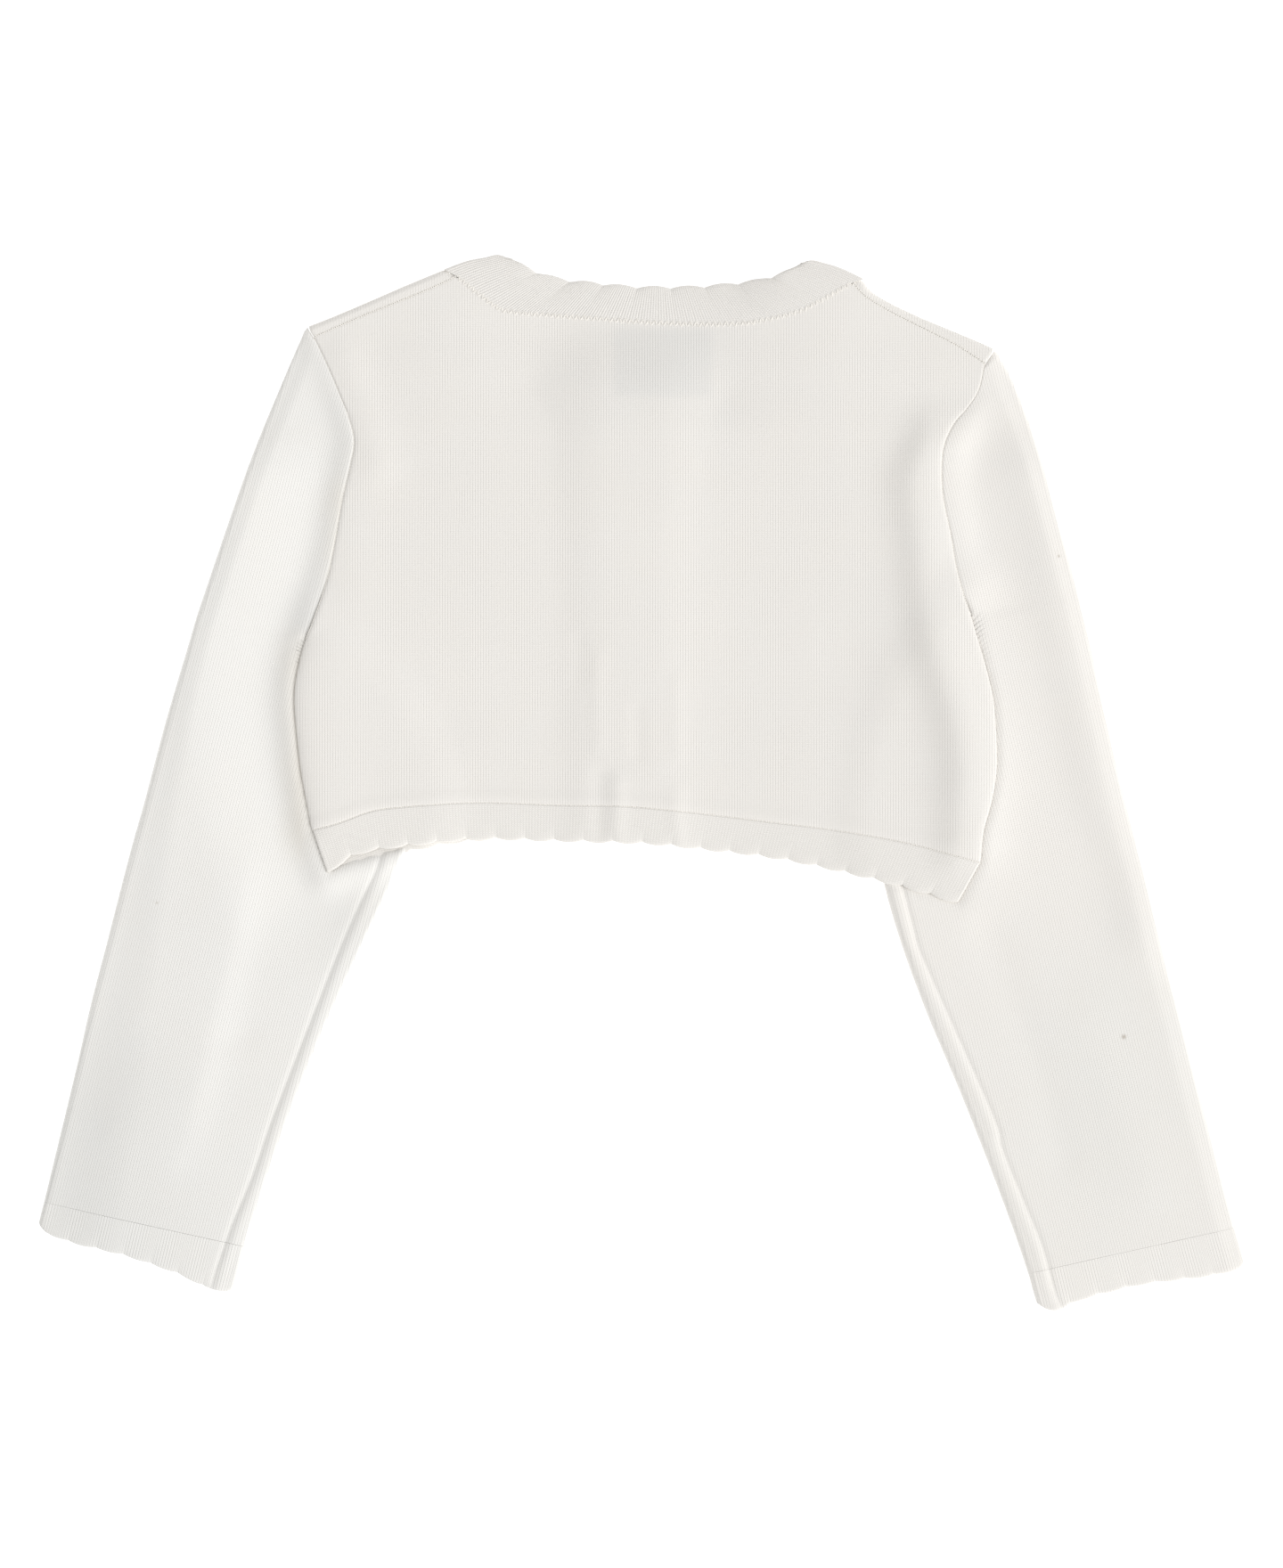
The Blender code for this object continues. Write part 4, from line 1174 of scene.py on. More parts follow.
def plain_mesh(name: str, points: np.ndarray, faces: Sequence[Sequence[int]],
               finish: bpy.types.Material | None = None) -> bpy.types.Mesh:
    """A mesh of points in millimetres, with its finish if it has one."""
    mesh = bpy.data.meshes.new(name)
    mesh.from_pydata((points * MM).tolist(), [], faces)
    if finish:
        mesh.materials.append(finish)
    return mesh


def placed(data: bpy.types.ID) -> bpy.types.Object:
    """A new object of the scene, which has its data's name."""
    made = bpy.data.objects.new(data.name, data)
    bpy.context.collection.objects.link(made)
    return made


def solid(name: str, points: np.ndarray, faces: list[list[int]], places: np.ndarray,
          finish: bpy.types.Material) -> bpy.types.Object:
    """A smooth mesh with the knit's coordinates.

    Args:
        name: The object's name.
        points: Its points in millimetres.
        faces: Its faces, as rows of point numbers.
        places: Each point's place in the knit, in millimetres.
        finish: Its material.

    Returns:
        The new object.
    """
    mesh = plain_mesh(name, points, faces, finish)
    layer = mesh.uv_layers.new(name=KNIT_MAP)
    corners = np.zeros(len(mesh.loops), dtype=np.int32)
    mesh.loops.foreach_get("vertex_index", corners)
    layer.data.foreach_set("uv", places[corners].astype(np.float32).ravel())
    mesh.shade_smooth()
    mesh.set_sharp_from_angle(angle=SHARP)
    mesh.update()
    return placed(mesh)


def raised(plan: np.ndarray, z: np.ndarray) -> np.ndarray:
    """The points of a plan grid, each at its own height."""
    return np.concatenate([plan, z[..., None]], axis=2)


def laid(plan: np.ndarray, height: np.ndarray, thickness: float) -> np.ndarray:
    """Middle points of a wall whose underside is at a height above each point of a plan grid."""
    return raised(plan, height + thickness / 2)


def all_round(upper: np.ndarray, under: np.ndarray) -> np.ndarray:
    """The columns of a ring: its upper side's, and then its under side's from far to near."""
    return np.concatenate([upper, under[:, 1:-1][:, ::-1]], axis=1)


def lips(grid: np.ndarray, first: np.ndarray | float = LIP, last: np.ndarray | float = LIP,
         start: np.ndarray | float = LIP, end: np.ndarray | float = LIP) -> np.ndarray:
    """How thick the wall is at each point, from thin at its rounded edges to 1.

    Args:
        grid: The middle points.
        first: How far in its first row is rounded, for all columns or for each; 0 is not at all.
        last: The same for its last row.
        start: The same for its first column, for all rows or for each.
        end: The same for its last column.

    Returns:
        The weights.
    """
    weights = np.ones(grid.shape[:2])
    for axis, near, far in ((0, first, last), (1, start, end)):
        along = lengths(grid, axis)
        whole = along[-1:] if axis == 0 else along[:, -1:]
        weights = np.minimum(weights, lip_weight(along, near))
        weights = np.minimum(weights, lip_weight(whole - along, far))
    return weights


def ribs(along: np.ndarray, depth: float) -> np.ndarray:
    """Round ribs with narrow furrows between them, at each distance along a band."""
    return depth * (np.abs(np.cos(math.pi * along / RIB_PITCH)) ** RIB_ROUND - 0.5)


def declare(piece: bpy.types.Object, slot: Slot, nodes: Sequence[str]) -> bpy.types.Object:
    """Put a piece on the root and hide the frame's nodes that it stands for.

    Args:
        piece: The piece.
        slot: The record's material slot; not used.
        nodes: The frame's nodes that it stands for.

    Returns:
        The piece.
    """
    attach(piece, "root")
    if nodes:
        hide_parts(*nodes)
    LOG.info("%s: %d faces", piece.name, len(piece.data.polygons))
    return piece


@dataclass(frozen=True)
class ClothPart:
    """A part of the garment that is knitted or cut flat and stands for one node."""

    stem: ClassVar[str]
    cut: ClassVar[Cut]
    ending: ClassVar[str] = "knit"
    slot: ClassVar[Slot] = Slot.RIB
    side: Side | None = None

    @property
    def node(self) -> str:
        """The frame's node that it stands for."""
        return self.stem if self.side is None else f"{self.stem}_{self.side.word}"

    @property
    def name(self) -> str:
        """The name of its piece."""
        return f"{self.node}_{self.ending}"

    def wall(self) -> Wall:
        """Its one stretch of cloth."""
        raise NotImplementedError

    def walls(self) -> list[Wall]:
        """Its stretches of cloth, each of which goes on from the one before."""
        return [self.wall()]

    def build(self, finish: bpy.types.Material, rests_on: Sequence["ClothPart"] = (),
              trims: Sequence[bpy.types.Object] = ()) -> None:
        """Make the piece, put it on the root and hide the frame's node that it stands for.

        Args:
            finish: Its material.
            rests_on: The parts that it lies on.
            trims: The stitches that go with it; not used.
        """
        piece = declare(build_walls(self.name, self.walls(), finish), self.slot, [self.node])
        [part.name for part in rests_on]


def fold_bend() -> np.ndarray:
    """Where the columns of a fold lie, as shares of its radius inwards from its edge."""
    return 1.0 - np.cos(np.linspace(0.0, math.pi / 2, FOLD_STEPS + 1))


def rounded(distance: np.ndarray, reach: np.ndarray | float) -> np.ndarray:
    """0 at a folded edge, 1 from its fold radius inwards."""
    return np.sqrt(1.0 - (1.0 - np.clip(distance / reach, 0.0, 1.0)) ** 2)


def seam_lips(grid: np.ndarray, level: float = 150.0) -> np.ndarray:
    """How far in the edges are rounded: less above the level down to which the armhole is flat."""
    return np.where(grid[..., 1] > level, SEAM_LIP, LIP)


def along_sleeve(grid: np.ndarray, side: Side) -> np.ndarray:
    """The knit's coordinates on a sleeve, whose wales run along its outer fold."""
    outer = np.array(SIDES[side].sleeve_rows)[:, :2]
    down = outer[-1] - outer[0]
    down = down / np.linalg.norm(down)
    sideways = np.array([-down[1], down[0]])
    return np.stack([grid[..., :2] @ sideways, -(grid[..., :2] @ down)], axis=-1)


@dataclass(frozen=True)
class BackPanel(ClothPart):
    """The back, from the hem seam to the shoulder seams and the neckband."""

    stem: ClassVar[str] = "back_panel"
    slot: ClassVar[Slot] = Slot.KNIT
    cut: ClassVar[Cut] = Cut(282.0, 224.0, 52500.0)
    columns: int = 150
    rows: int = 116
    width: float = 276.0
    length: float = 215.0
    side_shares: tuple[float, float] = (7.0, 12.0)
    top_shares: tuple[float, float, float] = (7.0, 24.0, 7.0)
    seam_ridge: float = 0.35
    seam_ridge_half: float = 1.6
    seam_ridge_away: float = 2.4

    def plan(self) -> np.ndarray:
        """The back's points in plan."""
        u, v = spread(self.columns, self.width), spread(self.rows, self.length)
        left = Edge((LEFT.side, LEFT.armhole), self.side_shares).at(v)
        right = Edge((RIGHT.side, RIGHT.armhole), self.side_shares).at(v)
        top = Edge((LEFT.seam, NECK_JOINT, RIGHT.seam[::-1]), self.top_shares).at(u)
        bottom = across(HEM_SEAM, LEFT.side[0][0], RIGHT.side[0][0], u)
        return patch(bottom, top, left, right, u, v)

    def wall(self) -> Wall:
        """Shape the back.

        Returns:
            Its wall.
        """
        plan = self.plan()
        ridge = path_distance(plan, moved(dense_path(HEM_SEAM, 4), self.seam_ridge_away))
        height = LAYERS.back_creased(plan)
        height += self.seam_ridge * np.exp(-(ridge / self.seam_ridge_half) ** 2)
        grid = laid(plan, height, WALL)
        sewn = seam_lips(grid)
        linked = (plan[-1, :, 0] > NECK_JOINT[0][0]) & (plan[-1, :, 0] < NECK_JOINT[-1][0])
        weights = lips(grid, SEAM_LIP, np.where(linked, 0.0, SEAM_LIP), sewn[:, :1], sewn[:, -1:])
        return Wall(grid, plan, weights=weights)


@dataclass(frozen=True)
class FrontPanel(ClothPart):
    """One front, which wraps over the shoulder to the seam on the back."""

    stem: ClassVar[str] = "front"
    slot: ClassVar[Slot] = Slot.KNIT
    cut: ClassVar[Cut] = Cut(136.0, 232.0, 25500.0)
    columns: int = 81
    rows: int = 104
    wrap_rows: int = 8
    strip_rows: int = 5
    width: float = 127.0
    length: float = 205.0
    side_shares: tuple[float, float] = (7.0, 12.0)
    shoulder_share: float = 7.0 / 21.0
    inset: float = 0.2
    side_inset: float = 3.2
    inset_fade: float = 14.0
    corner_share: float = 0.15

    def walls(self) -> list[Wall]:
        """Shape the front.

        Returns:
            The panel and the strip over the shoulder.
        """
        sign, outlines = self.side.value, SIDES[self.side]
        edge_x = beside_band(self.side)
        u, v = spread(self.columns, self.width), spread(self.rows, self.length)
        shoulder = u <= self.shoulder_share
        over = u[shoulder] / u[shoulder][-1]
        fold = at_fractions(outlines.fold, over)
        curl = moved(fold, sign * (FOLD_RADIUS + WALL / 2))
        apex = moved(fold, sign * WALL / 2)
        seam = moved(at_fractions(outlines.seam, over), -sign * SEAM_GAP)
        past = (u[~shoulder] - u[shoulder][-1]) / (1.0 - u[shoulder][-1])
        neck = at_fractions(outlines.front_joint, past)
        corner = 1.0 - np.clip(past / self.corner_share, 0.0, 1.0)
        neck += corner[:, None] * (curl[-1] - np.array(outlines.front_joint[0]))
        neck[-1, 0] = edge_x
        top = np.vstack([curl, neck])
        outer = Edge((outlines.side, outlines.armhole), self.side_shares).at(v)
        below = smooth_step((outlines.armhole[0][1] - outer[:, 1]) / self.inset_fade)
        outer = moved(outer, sign * (self.inset + self.side_inset * below))
        outer[-1] = curl[0]
        bottom = across(HEM_SEAM, outlines.side[0][0], edge_x, u)
        outer[0] = bottom[0]
        middle = bottom[-1] + v[:, None] * (top[-1] - bottom[-1])
        plan = patch(bottom, top, outer, middle, u, v)
        height = LAYERS.front(plan, self.side) + lifted_by(plan, FRONT_FOLDS[self.side])
        height[-1, shoulder] = 0.0
        panel = laid(plan, height, WALL)
        wrap = self.wrap(curl, apex, seam)
        knit = np.concatenate([panel[-1:, shoulder, :2], wrap[1:, :, :2]])
        knit[:, :, 1] = panel[-1:, shoulder, 1] + lengths(wrap)
        weights = lips(panel, SEAM_LIP, np.where(shoulder, 0.0, SEAM_LIP), SEAM_LIP, SEAM_LIP)
        walls = [Wall(panel, plan, weights=weights),
                 Wall(wrap, knit, weights=lips(wrap, 0.0, SEAM_LIP, SEAM_LIP, SEAM_LIP))]
        walls[1].weights[0] = walls[0].weights[-1, shoulder]
        return walls

    def wrap(self, curl: np.ndarray, apex: np.ndarray, seam: np.ndarray) -> np.ndarray:
        """Middle points of the strip over the shoulder.

        Args:
            curl: Where the bend starts and ends, in plan.
            apex: The bend's outermost line, in plan.
            seam: The seam on the back, in plan.

        Returns:
            A grid from the front's top row to the seam.
        """
        low = WALL / 2
        seam_z = LAYERS.back_creased(seam) + WALL / 2
        middle, half = (seam_z + low) / 2, (seam_z - low) / 2
        rows = []
        for step in range(self.wrap_rows + 1):
            turn = math.pi * (step / self.wrap_rows - 0.5)
            plan = curl + (apex - curl) * math.cos(turn)
            rows.append(np.column_stack([plan, middle + half * math.sin(turn)]))
        width = float(np.linalg.norm(seam - curl, axis=1).mean())
        for part in spread(self.strip_rows, width)[1:]:
            rows.append(np.column_stack([curl + (seam - curl) * part, seam_z]))
        return np.array(rows)


@dataclass(frozen=True)
class Sleeve(ClothPart):
    """One sleeve, folded flat, with its seam along the underarm."""

    stem: ClassVar[str] = "sleeve"
    slot: ClassVar[Slot] = Slot.KNIT
    cut: ClassVar[Cut] = Cut(246.0, 395.0, 66000.0)
    head_rows: int = 62
    lower_rows: int = 110
    seam_columns: int = 15
    columns: int = 56
    seam_zone: float = 11.0
    zone_share: float = 0.45
    bend_share: float = 0.2
    armhole_bend: Pair = Pair(7.5, 11.0)
    armhole_step: float = 0.15
    underarm_rows: Pair = Pair(16.0, 8.0)
    closing_rows: float = 12.0
    puff: Pair = Pair(4.8, 2.6)
    head_share: float = 0.35
    valley_top: float = 151.0
    valley_fade: float = 30.0
    cuff_loss: float = 0.35
    cuff_start: float = -130.0
    cuff_fade: float = 60.0
    armhole_foot: float = 100.0
    foot_fade: float = 30.0
    free_start: float = 3.0
    free_reach: float = 2.4
    quick_share: float = 0.02
    slow_reach: float = 46.0
    flush_drop: float = 1.5
    flush_reach: Pair = Pair(8.0, 16.0)
    edge_rise: Pair = Pair(0.6, 0.8)
    edge_width: float = 2.6
    groove: float = 0.45
    groove_half: float = 1.2
    roll: float = 0.4
    roll_half: float = 2.2
    roll_away: float = 3.0
    fold_fade: float = 12.0
    outer_fall: float = 1.1
    outer_reach: float = 8.0
    low_fall: Pair = Pair(1.3, 0.0)
    low_reach: Pair = Pair(24.0, 0.0)

    def outline(self) -> tuple[np.ndarray, np.ndarray, np.ndarray]:
        """The outer and inner edge points of each station, and its number past the underarm."""
        outlines, sign = SIDES[self.side], self.side.value
        head = even(self.head_rows)
        armhole = moved(at_fractions(outlines.armhole, head), -sign * SEAM_GAP)[::-1]
        armhole[0] = outlines.sleeve_top
        lower = at_fractions(outlines.sleeve_rows, even(self.lower_rows))
        outer = np.vstack([at_fractions(outlines.sleeve_head, head)[::-1], lower[1:, :2]])
        inner = np.vstack([armhole, lower[1:, 2:]])
        station = np.arange(len(outer)) - self.head_rows
        return outer, inner, station

    def body_outline(self) -> np.ndarray:
        """The closed outline of the body, hem included."""
        left = np.vstack([dense_path(LEFT.side, 4), dense_path(LEFT.armhole, 4)[1:]])
        right = np.vstack([dense_path(RIGHT.side, 4), dense_path(RIGHT.armhole, 4)[1:]])[::-1]
        hem = dense_path(HEM_EDGE, 4)[::-1]
        return np.vstack([left, right, hem[hem[:, 0] > 0.0], dense_path(LEFT.front_hem, 4)[::-1]])

    def top_height(self, plan: np.ndarray) -> np.ndarray:
        """The middle height of the upper wall at each point."""
        outline = self.body_outline()
        ring = np.vstack([outline, outline[:1]])
        distance = path_distance(plan, ring)
        distance[inside(plan, outline)] *= -1.0
        y = plan[..., 1]
        below_head = smooth_step((self.valley_top - y) / self.valley_fade)
        puff = self.head_share + (1.0 - self.head_share) * below_head
        puff *= self.puff.of(self.side)
        puff *= 1.0 - self.cuff_loss * smooth_step((self.cuff_start - y) / self.cuff_fade)
        low = 1.5 * WALL + SLEEVE_SPACE
        free = smooth_step((distance + self.free_start) / self.free_reach)
        lying_under = 1.0
        top = low + puff * free
        if self.side is Side.LEFT:
            lying_under = smooth_step((self.armhole_foot - y) / self.foot_fade)
            quick = self.quick_share * lying_under
            top = low + puff * (quick * free + (1.0 - quick)
                                * smooth_step(distance / self.slow_reach))
        level = (LAYERS.back_creased(plan) + WALL / 2 - self.flush_drop
                 + self.edge_rise.of(self.side) * smooth_step(distance / self.edge_width))
        beside = np.exp(-(np.maximum(distance, 0.0) / self.flush_reach.of(self.side)) ** 2)
        top += (level - top) * lying_under * free * beside
        folds = lifted_by(plan, SLEEVE_FOLDS[self.side]) * smooth_step(distance / self.fold_fade)
        seam = dense_path(SIDES[self.side].underarm, 6)
        groove = Fold(seam, -self.groove, self.groove_half)
        beside = moved(seam, -self.side.value * self.roll_away)
        roll = Fold(beside, self.roll, self.roll_half)
        return top + folds + lifted_by(plan, (groove, roll))

    def edge_fall(self, from_outer: np.ndarray, low: np.ndarray | float = 1.0) -> np.ndarray:
        """How much lower the upper wall is near the outer fold.

        Args:
            from_outer: The distance from the outer fold.
            low: How far down the sleeve it is, from 0 at the underarm to 1 at the cuff.

        Returns:
            The fall at each point.
        """
        fall = self.outer_fall + self.low_fall.of(self.side) * low
        reach = self.outer_reach + self.low_reach.of(self.side) * low
        return fall * (1.0 - smooth_step(from_outer / reach))

    def spacing(self, width: np.ndarray) -> tuple[np.ndarray, np.ndarray]:
        """How the stations are divided into columns.

        Args:
            width: Each station's width, one a row.

        Returns:
            How far the rounding of its folds reaches, and its columns' distances from its inner
            edge.
        """
        near = np.minimum(FOLD_RADIUS, width * self.bend_share)
        zone = np.minimum(self.seam_zone, self.zone_share * width)
        bend = fold_bend()
        return near, np.hstack([near * bend,
                                near + (zone - near) * even(self.seam_columns)[1:],
                                zone + (width - near - zone) * even(self.columns)[1:],
                                width - near * bend[::-1][1:]])

    def wall(self) -> Wall:
        """Shape the sleeve.

        Returns:
            Its wall.
        """
        outer, inner, station = self.outline()
        along = outer - inner
        along /= np.linalg.norm(along, axis=1)[:, None]
        closing = smooth_step(station / self.closing_rows)[:, None]
        inner = inner + along * closing * WALL / 2
        width = (np.linalg.norm(outer - inner, axis=1) - WALL / 2)[:, None]
        near, from_inner = self.spacing(width)
        plan = inner[:, None] + along[:, None] * from_inner[..., None]
        outward = rounded(width - from_inner, near)
        inward = 1.0 - closing + closing * rounded(from_inner, near)
        side_z = WALL / 2 + (WALL + SLEEVE_SPACE) / 2
        armhole_z = LAYERS.back_creased(inner) + WALL / 2 - self.armhole_step
        near_underarm = smooth_step(1.0 + station / self.underarm_rows.of(self.side))[:, None]
        bend = from_inner / self.armhole_bend.of(self.side)
        near_seam = np.exp(-bend ** 2) * (1.0 - near_underarm)
        top = self.top_height(plan)
        low = smooth_step(station / self.lower_rows)[:, None]
        top -= self.edge_fall(width - from_inner, low)
        top += (armhole_z[:, None] - top) * near_seam
        upper_z = side_z + (top - side_z) * outward * inward
        under_z = side_z + (WALL / 2 - side_z) * outward * inward
        under = raised(plan, under_z)[:, ::-1][:, 1:]
        grid = np.concatenate([raised(plan, upper_z), under], axis=1)
        if self.side is Side.RIGHT:
            grid = grid[:, ::-1]
        sewn = np.where((station <= 0)[:, None], seam_lips(grid), 0.0)
        weights = lips(grid, SEAM_LIP, 0.0, sewn[:, :1], sewn[:, -1:])
        return Wall(grid, along_sleeve(grid, self.side), weights=weights)


def swell(phase: np.ndarray) -> np.ndarray:
    """How far a scalloped edge stands out, from 0 in a notch to 1, at each count of scallops."""
    return np.abs(np.sin(math.pi * phase)) ** SCALLOP_ROUND


def scalloped(line: np.ndarray, count: int, sign: float,
              depth: float = SCALLOP_DEPTH) -> np.ndarray:
    """An edge with rounded scallops that stand out to its left, or its right where sign is -1."""
    phase = np.linspace(0.0, count, len(line))
    return moved(line, sign * depth * swell(phase))


def band_relief(along: np.ndarray, up: np.ndarray, phase: np.ndarray, depth: np.ndarray | float,
                pucker: float) -> np.ndarray:
    """How far a band stands out: its ribs, less a pucker at each notch of its rim.

    Args:
        along: How far along the band each point lies.
        up: How far it lies from the joint.
        phase: The count of scallops at each column.
        depth: The ribs' height, for all points or for each.
        pucker: How deep the puckers are.

    Returns:
        The height of each point over the plain wall.
    """
    from_rim = up[-1:] - up
    puckers = pucker * (1.0 - swell(phase)) * np.exp(-(from_rim / PUCKER_REACH) ** 2)
    return ribs(along, depth) * smooth_step(from_rim / RIM_FADE) - puckers


@dataclass(frozen=True)
class Strip:
    """A knitted band between its joint and its scalloped rim."""

    joint: np.ndarray
    rim: np.ndarray
    scallops: int
    thickness: float = WALL
    rib_depth: float = BAND_RIB
    joint_lip: float = SEAM_LIP
    rows: int = 12
    pucker: float = 0.35

    def rising(self) -> np.ndarray:
        """Each row's share of the way from the joint to the rim."""
        width = float(np.linalg.norm(self.rim - self.joint, axis=1).mean())
        return spread(self.rows, width)

    def plan(self) -> np.ndarray:
        """The band's points in plan, row by row from the joint."""
        part = self.rising()[:, None, None]
        return self.joint * (1.0 - part) + self.rim * part

    def wall(self, plan: np.ndarray, height: np.ndarray) -> Wall:
        """The band's wall, with its ribs and with the puckers at its notches.

        Args:
            plan: Its points in plan.
            height: The height of its underside at each of them.

        Returns:
            The wall.
        """
        grid = laid(plan, height, self.thickness)
        up = lengths(plan)
        along = np.broadcast_to(lengths(self.joint), up.shape)
        phase = np.linspace(0.0, self.scallops, plan.shape[1])
        depth = self.rib_depth * smooth_step(up / RIM_FADE)
        relief = band_relief(along, up, phase, depth, self.pucker)
        knit = np.stack([along, up], axis=-1)
        return Wall(grid, knit, self.thickness, lips(grid, first=self.joint_lip), relief)


def flipped(wall: Wall, across_columns: bool) -> Wall:
    """A wall that faces the other way.

    Args:
        wall: The wall.
        across_columns: Whether its columns turn round, or else its rows.

    Returns:
        The turned wall.
    """
    turn = np.s_[:, ::-1] if across_columns else np.s_[::-1]
    shape = wall.grid.shape[:2]
    return Wall(wall.grid[turn], wall.knit[turn], wall.thickness,
                np.broadcast_to(wall.weights, shape)[turn],
                np.broadcast_to(wall.relief, shape)[turn], wall.closed)


def rib_steps(length: float) -> int:
    """How many steps a band of a length is divided into."""
    return round(length / RIB_PITCH) * RIB_SAMPLES


@dataclass(frozen=True)
class BackHem(ClothPart):
    """The back's hem band."""

    stem: ClassVar[str] = "hem_back"
    cut: ClassVar[Cut] = Cut(268.0, 15.5, 4050.0)
    scallops: int = 22
    length: float = 262.0

    def wall(self) -> Wall:
        """Shape the band.

        Returns:
            Its wall.
        """
        u = even(rib_steps(self.length))
        joint = moved(across(HEM_SEAM, HEM_SEAM[0][0], HEM_SEAM[-1][0], u), -SEAM_GAP)
        rim = scalloped(at_fractions(HEM_EDGE, u), self.scallops, -1.0)
        strip = Strip(joint, rim, self.scallops)
        plan = strip.plan()
        return flipped(strip.wall(plan, LAYERS.back_creased(plan)), across_columns=False)


@dataclass(frozen=True)
class FrontHem(ClothPart):
    """One front's hem band, from the side to the front band."""

    stem: ClassVar[str] = "hem_front"
    cut: ClassVar[Cut] = Cut(126.0, 14.5, 1800.0)
    scallops: int = 10
    rows: int = 8
    length: float = 122.0

    def wall(self) -> Wall:
        """Shape the band.

        Returns:
            Its wall.
        """
        outlines, edge_x = SIDES[self.side], beside_band(self.side)
        u = even(rib_steps(self.length))
        joint = across(HEM_SEAM, outlines.side[0][0], edge_x, u)
        joint = joint - np.array([0.0, SEAM_GAP])
        rim = at_fractions(outlines.front_hem, u)
        rim[-1, 0] = edge_x
        rim = scalloped(rim, self.scallops, self.side.value)
        strip = Strip(joint, rim, self.scallops, rows=self.rows)
        plan = strip.plan()
        wall = strip.wall(plan, LAYERS.front(plan, self.side))
        return flipped(wall, across_columns=True) if self.side is Side.RIGHT else wall


@dataclass(frozen=True)
class BackNeckband(ClothPart):
    """The back of the neckband, up to the folds over the shoulders."""

    stem: ClassVar[str] = "neckband_back"
    ending: ClassVar[str] = "rib"
    cut: ClassVar[Cut] = Cut(172.0, 17.5, 2700.0)
    scallops: int = 9
    length: float = 168.0
    rows: int = 16
    middle: float = 4.0
    side_fade: float = 16.0
    low: float = 0.6
    high: float = 2.2
    flat: float = 30.0
    rise: float = 25.0

    def wall(self) -> Wall:
        """Shape the band.

        Returns:
            Its wall.
        """
        u = even(rib_steps(self.length))
        seam = moved(dense_path(NECK_JOINT), -LINK_LAP)
        line = np.vstack([LEFT.neck_fold[:1], seam, RIGHT.neck_fold[:1]])
        along = lengths(line) / lengths(line)[-1]
        joint = np.stack([np.interp(u, along, line[:, k]) for k in (0, 1)], axis=1)
        rim = scalloped(at_fractions(NECK_EDGE, u), self.scallops, 1.0)
        strip = Strip(joint, rim, self.scallops, RIB_WALL, NECK_RIB, 0.0, rows=self.rows)
        v = strip.rising()
        plan = patch(joint, rim, at_fractions(LEFT.neck_fold, v), at_fractions(RIGHT.neck_fold, v),
                     u, v, self.side_fade)
        ends = smooth_step((np.abs(plan[..., 0] - self.middle) - self.flat) / self.rise)
        rim_z = self.low + (self.high - self.low) * ends
        seam_z = LAYERS.back_creased(joint) - (RIB_WALL - WALL)
        height = seam_z * (1.0 - v[:, None]) + rim_z * v[:, None]
        return strip.wall(plan, height)


@dataclass(frozen=True)
class FrontNeckband(ClothPart):
    """One front's neckband, from the shoulder fold to the opening's far edge."""

    stem: ClassVar[str] = "neckband_front"
    ending: ClassVar[str] = "rib"
    cut: ClassVar[Cut] = Cut(146.0, 16.5, 2200.0)
    scallops: int = 8
    length: float = 140.0
    lap: float = 0.125
    slope: float = 30.0

    def edge(self, table: Table, u: np.ndarray) -> np.ndarray:
        """A line of the band, whose last part laps over the opening.

        Args:
            table: The line's points up to the opening.
            u: The wanted fractions of it.

        Returns:
            Points of the line.
        """
        far_x = sum(BAND_X) - SIDES[self.side].band_seam
        line = at_fractions(table, np.clip(u / (1.0 - self.lap), 0.0, 1.0))
        beyond = np.clip((u - 1.0 + self.lap) / self.lap, 0.0, 1.0)
        line[:, 0] += (far_x - table[-1][0]) * beyond
        return line

    def wall(self) -> Wall:
        """Shape the band.

        Returns:
            Its wall.
        """
        sign, outlines = self.side.value, SIDES[self.side]
        u = even(rib_steps(self.length))
        joint = moved(self.edge(outlines.front_joint, u), -sign * SEAM_GAP)
        rim = scalloped(self.edge(outlines.front_edge, u), self.scallops, -sign)
        strip = Strip(joint, rim, self.scallops, rib_depth=NECK_RIB)
        plan = strip.plan()
        away = sign * (plan[..., 0] - outlines.band_seam)
        wall = strip.wall(plan, outlines.band_z * smooth_step(1.0 - away / self.slope))
        return flipped(wall, across_columns=True) if self.side is Side.LEFT else wall


@dataclass(frozen=True)
class FrontBand(ClothPart):
    """One front band, from the hem's edge to the neckband."""

    stem: ClassVar[str] = "front_band"
    cut: ClassVar[Cut] = Cut(16.0, 158.0, 2528.0)
    columns: int = 8
    rib_depth: float = 0.25

    def wall(self) -> Wall:
        """Shape the band.

        Returns:
            Its wall.
        """
        low, high = LEFT.front_hem[-1][1], LEFT.front_joint[-1][1] - SEAM_GAP
        x = BAND_X[0] + BAND_WIDTH * spread(self.columns, BAND_WIDTH)
        y = np.linspace(low, high, rib_steps(high - low) + 1)
        plan = np.stack(np.meshgrid(x[::-1], y), axis=-1)
        grid = laid(plan, np.full(plan.shape[:2], SIDES[self.side].band_z), WALL)
        weights = lips(grid)
        relief = ribs(plan[..., 1] - low, self.rib_depth) * smooth_step(weights)
        return Wall(grid, plan[..., ::-1], WALL, weights, relief)


